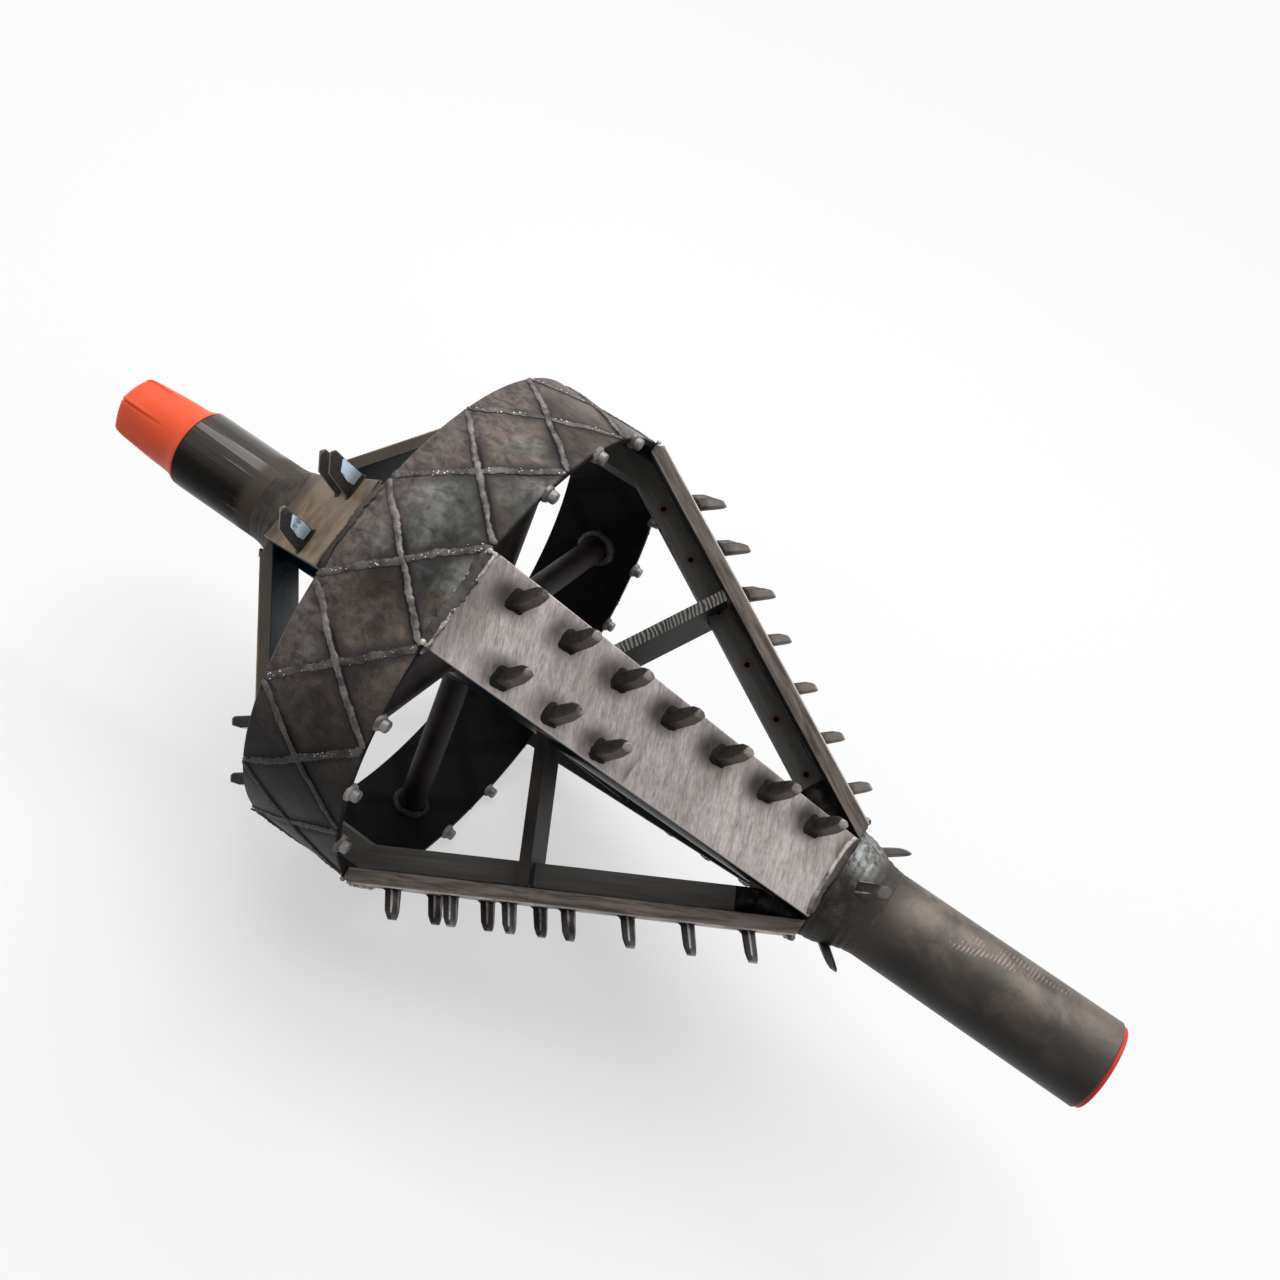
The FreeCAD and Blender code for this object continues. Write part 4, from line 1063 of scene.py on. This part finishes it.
def make_teeth():
    for number in range(WINGS):
        teeth, collars = Form(), Form()
        for order, seat in enumerate(WING_SEATS):
            block(teeth, seat, WING_TOOTH, 0.0024, 0.86)
            root_skirt(collars, seat, 0.0108, 0.0030, 0.0056, number * 17 + order * 3.3, 0.0038)
        name, place = "wing_teeth_%d" % (number + 1), wing_frame(number)
        teeth.make(name + "_forged", WING_TOOTH_STEEL, place=place, nodes=[name], crease=25,
                   bevel=0.0009)
        collars.make(name + "_welds", ROOT_WELD, place=place, crease=None)
    for number in range(WINGS):
        teeth, collars, faces = Form(), Form(), Form()
        for order, seat in enumerate(EVEN_SEATS if number % 2 else ODD_SEATS):
            slab(teeth, seat, SLAB_BODY)
            slab(faces, seat, SLAB_POLISH)
            root_skirt(collars, seat, 0.0170, 0.0036, 0.0042, number * 11 + order)
        name, place = "rear_teeth_%d" % (number + 1), rear_frame(number)
        teeth.make(name + "_forged", REAR_TOOTH_STEEL, place=place, nodes=[name], crease=25,
                   bevel=0.0012)
        faces.make(name + "_faces", POLISHED, place=place, crease=25)
        collars.make(name + "_welds", ROOT_WELD, place=place, crease=None)
    for number in range(WINGS):
        teeth = Form()
        block(teeth, (0.0, 0.0), NOSE_TOOTH, 0.0034)
        teeth.make("nose_tooth_%d_forged" % (number + 1), NOSE_TOOTH_STEEL,
                   place=nose_frame(number), nodes=["nose_teeth"], crease=25, bevel=0.0009)


# Studs: blunt dowels, each in a ring of bright weld

def make_studs():
    studs, rings = Form(), Form()
    for number in range(WINGS):
        for step in (-1, 0, 1):
            angle = wing_angle(number) + 45 + STUD_STEP * step
            seed = number * 5 + step
            centre = on_axis(0, STUD_CIRCLE, angle)
            across, aside = on_axis(0, 1, angle), on_axis(0, 1, angle + 90)
            layers = []
            for x, radius in ((BAND_FRONT - 0.0005, STUD_RADIUS),
                              (STUD_TIP - 0.0028, STUD_RADIUS), (STUD_TIP - 0.0010, 0.0077),
                              (STUD_TIP - 0.0002, 0.0062), (STUD_TIP, 0.0035)):
                ring = []
                for cos, sin in circle(24)[:-1]:
                    spot = centre + across * radius * cos + aside * radius * sin
                    jitter = 1 + 0.02 * uneven(spot, 300, seed)
                    ring.append(centre.lerp(spot, jitter) + Vector((x, 0, 0)))
                layers.append(ring)
            studs.loft(layers)
            path = [centre + across * 0.0088 * cos + aside * 0.0088 * sin
                    + Vector((BAND_FRONT, 0, 0)) for cos, sin in circle(24)]
            bead(rings, path, Vector((1, 0, 0)), 0.0062, 0.0056, seed, pitch=0.003,
                 closed=True, wander=0.0009)
    studs.make("ring_studs_blunt", STUD, nodes=["ring_studs"], crease=35)
    rings.make("ring_stud_welds", BRIGHT_WELD, crease=None)


# Weld collars at both ends of the plates, laid in passes round the body

def collar(name, finish, profile, node, seed, bumpy):
    """Closed ring under a rough skin; profile gives station and radius."""
    inner = SHAFT_RADIUS - 0.003

    def lumpy(x, radius, angle):
        if radius <= inner:
            return x, radius
        spot = on_axis(x, radius, angle)
        rise = 0.6 * uneven(spot, 38, seed) + 0.3 * uneven(spot, 110, seed + 2)
        passes = 0.35 * math.sin(x * 620 + 1.5 * uneven(spot, 16, seed + 5))
        fade = min(1.0, max(0.0, (radius - SHAFT_RADIUS) / 0.004))
        return x, radius + bumpy * fade * (rise + passes)

    points = [(profile[0][0], inner)]
    for (x0, r0), (x1, r1) in zip(profile, profile[1:]):
        count = max(1, round(abs(x1 - x0) / 0.0018))
        points += [(x0 + (x1 - x0) * step / count, r0 + (r1 - r0) * step / count)
                   for step in range(count)]
    points += [profile[-1], (profile[-1][0], inner)]
    form = Form()
    form.lathe(points, 220, lumpy)
    form.make(name, finish, nodes=[node], crease=None)


def make_collars():
    collar("nose_collar_passes", NOSE_WELD,
           [(WING_NOSE + run, radius) for run, radius in (
               (-0.006, 0.0810), (0.002, 0.0822), (0.018, 0.0806), (0.034, 0.0758),
               (0.048, 0.0690), (0.060, 0.0652), (0.073, 0.0636))], "nose_collar", 3.0, 0.0012)
    collar("rear_collar_passes", BROWN_WELD,
           [(REAR_NECK + run, radius) for run, radius in (
               (-0.0490, 0.0636), (-0.036, 0.0652), (-0.018, 0.0705), (-0.004, 0.0765),
               (0.008, 0.0800))], "rear_collar", 8.0, 0.0008)


# Weld beads where plates, spokes and struts meet

def outward_of(place, along=0.0, aside=0.0, up=1.0):
    """Direction in the frame of a plate, as one in the frame of the tool."""
    return (place.to_3x3() @ Vector((along, aside, up))).normalized()


def make_seams():
    """Strips of weld along both ends of the plates: along, width, height, raggedness."""
    broad, bright, dark = Form(), Form(), Form()
    wing_strips = ((broad, 0.0035, 0.0160, 0.0010, 0.6), (bright, -0.0050, 0.0030, 0.0021, 1.7),
                   (bright, 0.0112, 0.0048, 0.0030, 1.7))
    rear_strips = ((dark, 0.0021, 0.0072, 0.0007, 1.7), (dark, 0.00672, 0.00216, 0.0021, 1.7))
    for number in range(WINGS):
        wing, rear = wing_frame(number), rear_frame(number)
        for place, outer, slope, half, seed, strips in (
                (wing, WING_OUTER, WING_SLOPE, WING_HALVES[0], number * 7, wing_strips),
                (rear, BAND_RADIUS, REAR_SLOPE, REAR_HALVES[0], number * 7 + 3, rear_strips)):
            for form, along, width, height, ragged in strips:
                path = []
                for step, share in spread(7):
                    aside = half * 0.98 * share
                    sway = 0.0016 * uneven((seed, step * 0.6, along * 90), 1.0)
                    here = max(0.0, along + sway)
                    lift = seat_height(BAND_RADIUS, outer, slope, here, aside) - 0.0004
                    spot = place @ Vector((here - lift * math.tan(slope) * 0.5, aside, lift))
                    if along < 0:
                        flat = radial(spot).normalized() * BAND_SKIN
                        spot = Vector((BAND_FRONT - 0.004 + sway, flat.y, flat.z))
                    path.append(spot)
                bead(form, path, radial, width, height, seed + along * 300, pitch=0.0048,
                     wander=0.0016, grain=0.8, wave=0.1, ragged=ragged)
        for hand in (-1, 1):
            for order, (along, sunk, radius) in enumerate(((0.004, 0.0050, 0.0040),
                                                           (0.009, 0.0075, 0.0034))):
                centre = wing @ Vector((along, hand * 0.0655, -sunk))
                drop(bright, centre, radial(centre), radius, number + hand + order)
        for bulge, width, height, form in ((0.0075, 0.0070, 0.0040, bright),
                                           (0.0020, 0.0110, 0.0052, broad)):
            path = [wing @ Vector((WING_LENGTH - 0.003 - bulge * (1 - share * share),
                                   0.058 * share, -0.0004)) for step, share in spread(6)]
            bead(form, path, outward_of(wing), width, height, number * 5 + bulge * 900,
                 pitch=0.0042, wander=0.0022)
        path = [rear @ Vector((REAR_LENGTH - 0.003 + 0.010 * share * share, 0.054 * share,
                               -0.0010)) for step, share in spread(6)]
        bead(dark, path, outward_of(rear), 0.0150, 0.0060, number * 9 + 2, wander=0.002)
    broad.make("plate_seam_welds", SEAM_WELD, crease=None)
    bright.make("plate_edge_welds", CREAM_WELD, crease=None)
    dark.make("rear_seam_welds", BROWN_WELD, crease=None)


def make_spoke_welds():
    """Rings of weld at both ends of each spoke: level, swell, width, height, sense."""
    form = Form()
    for number in range(WINGS):
        angle = wing_angle(number) + 45
        up, aside = on_axis(0, 1, angle), on_axis(0, 1, angle + 90)
        for level, swell, width, height, sense in (
                (BAND_RADIUS - BAND_WALL, 0.0245, 0.0160, 0.0110, -1),
                (SHAFT_RADIUS, 0.0225, 0.0110, 0.0080, 1)):
            path = []
            for cos, sin in circle(36):
                side = swell * sin
                path.append(Vector((BAND_MIDDLE + 0.006 + swell * cos, 0, 0))
                            + aside * side + up * math.sqrt(level ** 2 - side ** 2))

            def away(point, sense=sense):
                return radial(point) * sense
            bead(form, path, away, width, height, number * 3 + sense, pitch=0.005,
                 closed=True, wander=0.001)
    form.make("spoke_welds", DARK_WELD, crease=None)


def make_strut_welds():
    """Fillets on both sides of each strut at the wing."""
    form = Form()
    for number in range(WINGS):
        place = wing_frame(number)
        for side in (-1, 1):
            for hand in (-1, 1):
                path = [place @ Vector((STRUT_STATION + side * 0.008,
                                        hand * (0.022 + 0.038 * step / 6), -WING_THICK))
                        for step in range(7)]
                bead(form, path, outward_of(place, side * 0.8, 0, -1), 0.0095, 0.0042,
                     number * 4 + side + hand * 9)
    form.make("strut_welds", DARK_WELD, crease=None)


def make_pipe_welds():
    """Thin seams between each mud pipe and its wing, and its closed end at the body."""
    form = Form()
    for number in range(WINGS):
        place = wing_frame(number)
        for hand in (-1, 1):
            path = [place @ Vector((0.030 + 0.50 * step / 30, hand * PIPE_HALF, -WING_THICK))
                    for step in range(31)]
            bead(form, path, outward_of(place, 0, hand, -1), 0.0060, 0.0024, number * 8 + hand,
                 wander=0.0006)
        rings = []
        for step in range(9):
            along = PIPE_END + 0.095 * step / 8
            deep = (WING_OUTER - along * math.sin(WING_SLOPE) - 0.061) / math.cos(WING_SLOPE)
            deep = min(0.0568, deep)
            half = 0.0190 + 0.0006 * uneven((number, step, 0), 1.0)
            rings.append([place @ Vector((along, y, z)) for y, z in
                          ((-half, -0.021), (half, -0.021), (half, -deep), (-half, -deep))])
        form.loft(rings)
    form.make("mud_pipe_welds", DARK_WELD, crease=None)


def make_body_welds():
    """Butt welds between the centre pipe and the two subs."""
    form = Form()
    for station in (BOX_JOINT, PIN_JOINT):
        path = [on_axis(station, SHAFT_RADIUS + 0.0002, 360 * turn / 96) for turn in range(97)]
        bead(form, path, radial, 0.0060, 0.0011, station * 10, closed=True, wander=0.0005)
    form.make("body_butt_welds", BROWN_WELD, crease=None)


# Subs with their threads, and the orange cap

def thread_wave(x, angle):
    """Depth of a right-hand thread below its crest."""
    phase = (x / THREAD_PITCH - angle / 360) % 1.0
    return THREAD_DEPTH * min(1.0, max(0.0, 2.6 * abs(phase - 0.5) - 0.15))


def thread_share(along, relief):
    """How much of the thread is cut at a distance from the shoulder."""
    return max(0.0, min(1.0, (along - relief) / THREAD_FADE, (THREAD_END - along) / THREAD_FADE))


def turned(name, finish, profile, steps, reshape=None, **rest):
    form = Form()
    form.lathe(profile, steps, reshape)
    form.make(name, finish, **rest)


def make_pin():
    edge = 0.0025
    turned("pin_sub_neck", PAINT, (
        (PIN_SHOULDER, SUB_BORE), (PIN_SHOULDER, JOINT_RADIUS - edge),
        (PIN_SHOULDER + edge, JOINT_RADIUS), (PIN_JOINT - 0.08, JOINT_RADIUS),
        (PIN_JOINT, JOINT_RADIUS), (PIN_JOINT, SUB_BORE)), 160, nodes=["pin_sub"])

    def cut(x, radius, angle):
        if radius < 0.04:
            return x, radius
        return x, radius - thread_wave(x, angle) * thread_share(PIN_SHOULDER - x, PIN_RELIEF)

    runs = [PIN_RELIEF + 0.0865 * step / 118 for step in range(119)]
    profile = [(PIN_SHOULDER, SUB_BORE), (PIN_SHOULDER, 0.049),
               (PIN_SHOULDER - 0.0115, 0.049), (PIN_SHOULDER - 0.0125, 0.0499)]
    profile += [(PIN_SHOULDER - along, THREAD_BASE - THREAD_TAPER * along) for along in runs]
    profile += [(PIN_TIP, 0.0405), (PIN_TIP, SUB_BORE)]
    turned("pin_sub_thread", THREAD, profile, 128, cut, crease=50)


def make_box():
    edge = 0.0025
    turned("box_sub_shell", TURNED, (
        (BOX_JOINT, SUB_BORE), (BOX_JOINT, JOINT_RADIUS), (-0.16, JOINT_RADIUS),
        (-edge, JOINT_RADIUS), (0.0, JOINT_RADIUS - edge), (0.0, BOX_LINER),
        (-BOX_DEPTH, BOX_LINER), (-BOX_DEPTH, SUB_BORE)), 160, nodes=["box_sub"])

    def cut(x, radius, angle):
        if radius > BOX_LINER:
            return x, radius
        return x, radius + (THREAD_DEPTH - thread_wave(x, angle)) * thread_share(-x, BOX_RELIEF)

    runs = [0.0165 + 0.0845 * step / 112 for step in range(113)]
    profile = [(0.0, 0.0588), (0.0, 0.0518), (-0.016, 0.0518)]
    profile += [(-along, 0.0516 - THREAD_TAPER * along) for along in runs]
    profile += [(-BOX_DEPTH, 0.0419), (-BOX_DEPTH, 0.0588)]
    turned("box_sub_thread", THREAD, profile, 128, cut, crease=50)


# Half sections of the cap, outside and inside: distance from the shoulder, radius
CAP_OUTSIDE = ((0.0, 0.0630), (0.0035, 0.0630), (0.0060, 0.0618), (0.0110, 0.0594),
               (0.0180, 0.0572), (0.0260, 0.0559), (0.0360, 0.0552), (0.0480, 0.0549),
               (0.0600, 0.0547), (0.0720, 0.0545), (0.0840, 0.0542), (0.0960, 0.0539),
               (0.1080, 0.0535), (0.1180, 0.0528), (0.1230, 0.0512), (0.1270, 0.0484),
               (0.1300, 0.0452), (0.1315, 0.0420), (0.1320, 0.0380), (0.1320, 0.0))
CAP_INSIDE = ((0.1240, 0.0), (0.1240, 0.0365), (0.1035, 0.0438), (0.0, 0.0525))


def make_cap():
    """Six-sided cap that flares to a round rim, creased at its corners."""
    rings = []
    for turn in range(180):
        angle = 2.0 * turn
        corner = (angle + 30 - 12) % 60 - 30
        flat = math.cos(math.radians(30)) / math.cos(math.radians(30 - abs(corner)))
        crease = math.exp(-((corner - 3.0) / 2.1) ** 2), math.exp(-((corner + 1.6) / 2.2) ** 2)
        ring = []
        for along, radius in CAP_OUTSIDE:
            share = min(1.0, max(0.0, (along - 0.040) / 0.085))
            share = share * share * (3 - 2 * share)
            shaped = radius * (1 + 0.55 * share * (flat - 1) + 0.012 * share)
            groove = min(1.0, max(0.0, (along - 0.046) / 0.040)) * min(1.0, radius / 0.04)
            shaped += groove * (0.0009 * crease[1] - 0.0027 * crease[0])
            ring.append(on_axis(PIN_SHOULDER - along, min(shaped, 0.0630), angle))
        ring += [on_axis(PIN_SHOULDER - along, radius, angle) for along, radius in CAP_INSIDE]
        rings.append(ring)
    form = Form()
    form.loft(rings, closed=True)
    form.make("pin_protector_cap", ORANGE, body="pin_protector", nodes=["pin_protector"],
              crease=32)


for make in (make_band, make_crossing_beads, make_plates, make_teeth, make_studs, make_collars,
             make_seams, make_spoke_welds, make_strut_welds, make_pipe_welds, make_body_welds,
             make_pin, make_box, make_cap):
    make()


# Carried-over nodes get their finish

NODE_FINISH = {"centre_pipe": BLUED, "box_protector": RED}
for number in range(1, WINGS + 1):
    NODE_FINISH["spoke_tube_%d" % number] = SPOKED
    NODE_FINISH["wing_mud_pipe_%d" % number] = PIPE
    NODE_FINISH["wing_strut_%d" % number] = BAR
for name, finish in NODE_FINISH.items():
    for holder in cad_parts[name].material_slots:
        holder.material = finish.material


# Floor, light and camera

FLOOR_HALF = 30
LIT_MIDDLE = Vector((-0.85, 0.0, 0.0))
STRIP_PLACE = Vector((-1.2, 1.95, 2.2))


def make_floor():
    low = cad_low.z - 0.0005
    mesh = bpy.data.meshes.new("floor")
    corners = [(x * FLOOR_HALF - 0.8, y * FLOOR_HALF, low)
               for x, y in ((-1, -1), (1, -1), (1, 1), (-1, 1))]
    mesh.from_pydata(corners, [], [(0, 1, 2, 3)])
    mesh.materials.append(floor_paint().material)
    shown("floor", mesh)


def make_world():
    """Even pale sky, white where it is seen."""
    world = bpy.data.worlds.new("plain_room")
    bpy.context.scene.world = world
    world.use_nodes = True
    tree = world.node_tree
    tree.nodes.clear()
    mix = tree.nodes.new("ShaderNodeMixShader")
    out = tree.nodes.new("ShaderNodeOutputWorld")
    tree.links.new(shown_rays(tree), mix.inputs[0])
    tree.links.new(mix.outputs[0], out.inputs[0])
    for place, colour, strength in ((1, (0.97, 0.985, 1.0, 1), 0.34), (2, (1, 1, 1, 1), 1.0)):
        sky = tree.nodes.new("ShaderNodeBackground")
        sky.inputs["Color"].default_value = colour
        sky.inputs["Strength"].default_value = strength
        tree.links.new(sky.outputs[0], mix.inputs[place])


def lamp(name, kind, energy, aim, place, **settings):
    """Light of one kind at a place, turned along aim."""
    light = bpy.data.lights.new(name, kind)
    light.energy = energy
    for key, value in settings.items():
        setattr(light, key, value)
    holder = shown(name, light)
    holder.location = place
    holder.rotation_mode = "QUATERNION"
    holder.rotation_quaternion = Vector(aim).to_track_quat("-Z", "Y")


def make_camera():
    """Camera at the photograph's viewing angle."""
    lens = bpy.data.cameras.new("camera")
    lens.sensor_width = 36.0
    lens.lens = 37.7
    camera = shown("camera", lens)
    right = Vector((0.8154, 0.5124, 0.2692)).normalized()
    back = Vector((0.2016, -0.6874, 0.6978))
    back = (back - right * back.dot(right)).normalized()
    turn = Matrix((right, back.cross(right), back)).transposed()
    camera.matrix_world = Matrix.Translation((-0.428, -1.2015, 1.403)) @ turn.to_4x4()
    bpy.context.scene.camera = camera


make_floor()
make_world()
lamp("daylight", "SUN", 2.0, (0.10, -0.30, -1.0), (0, 0, 0), angle=math.radians(55))
lamp("strip_softbox", "AREA", 17, LIT_MIDDLE - STRIP_PLACE, STRIP_PLACE, shape="RECTANGLE",
     size=3.2, size_y=0.10)
make_camera()
bpy.context.scene.view_settings.view_transform = "Standard"
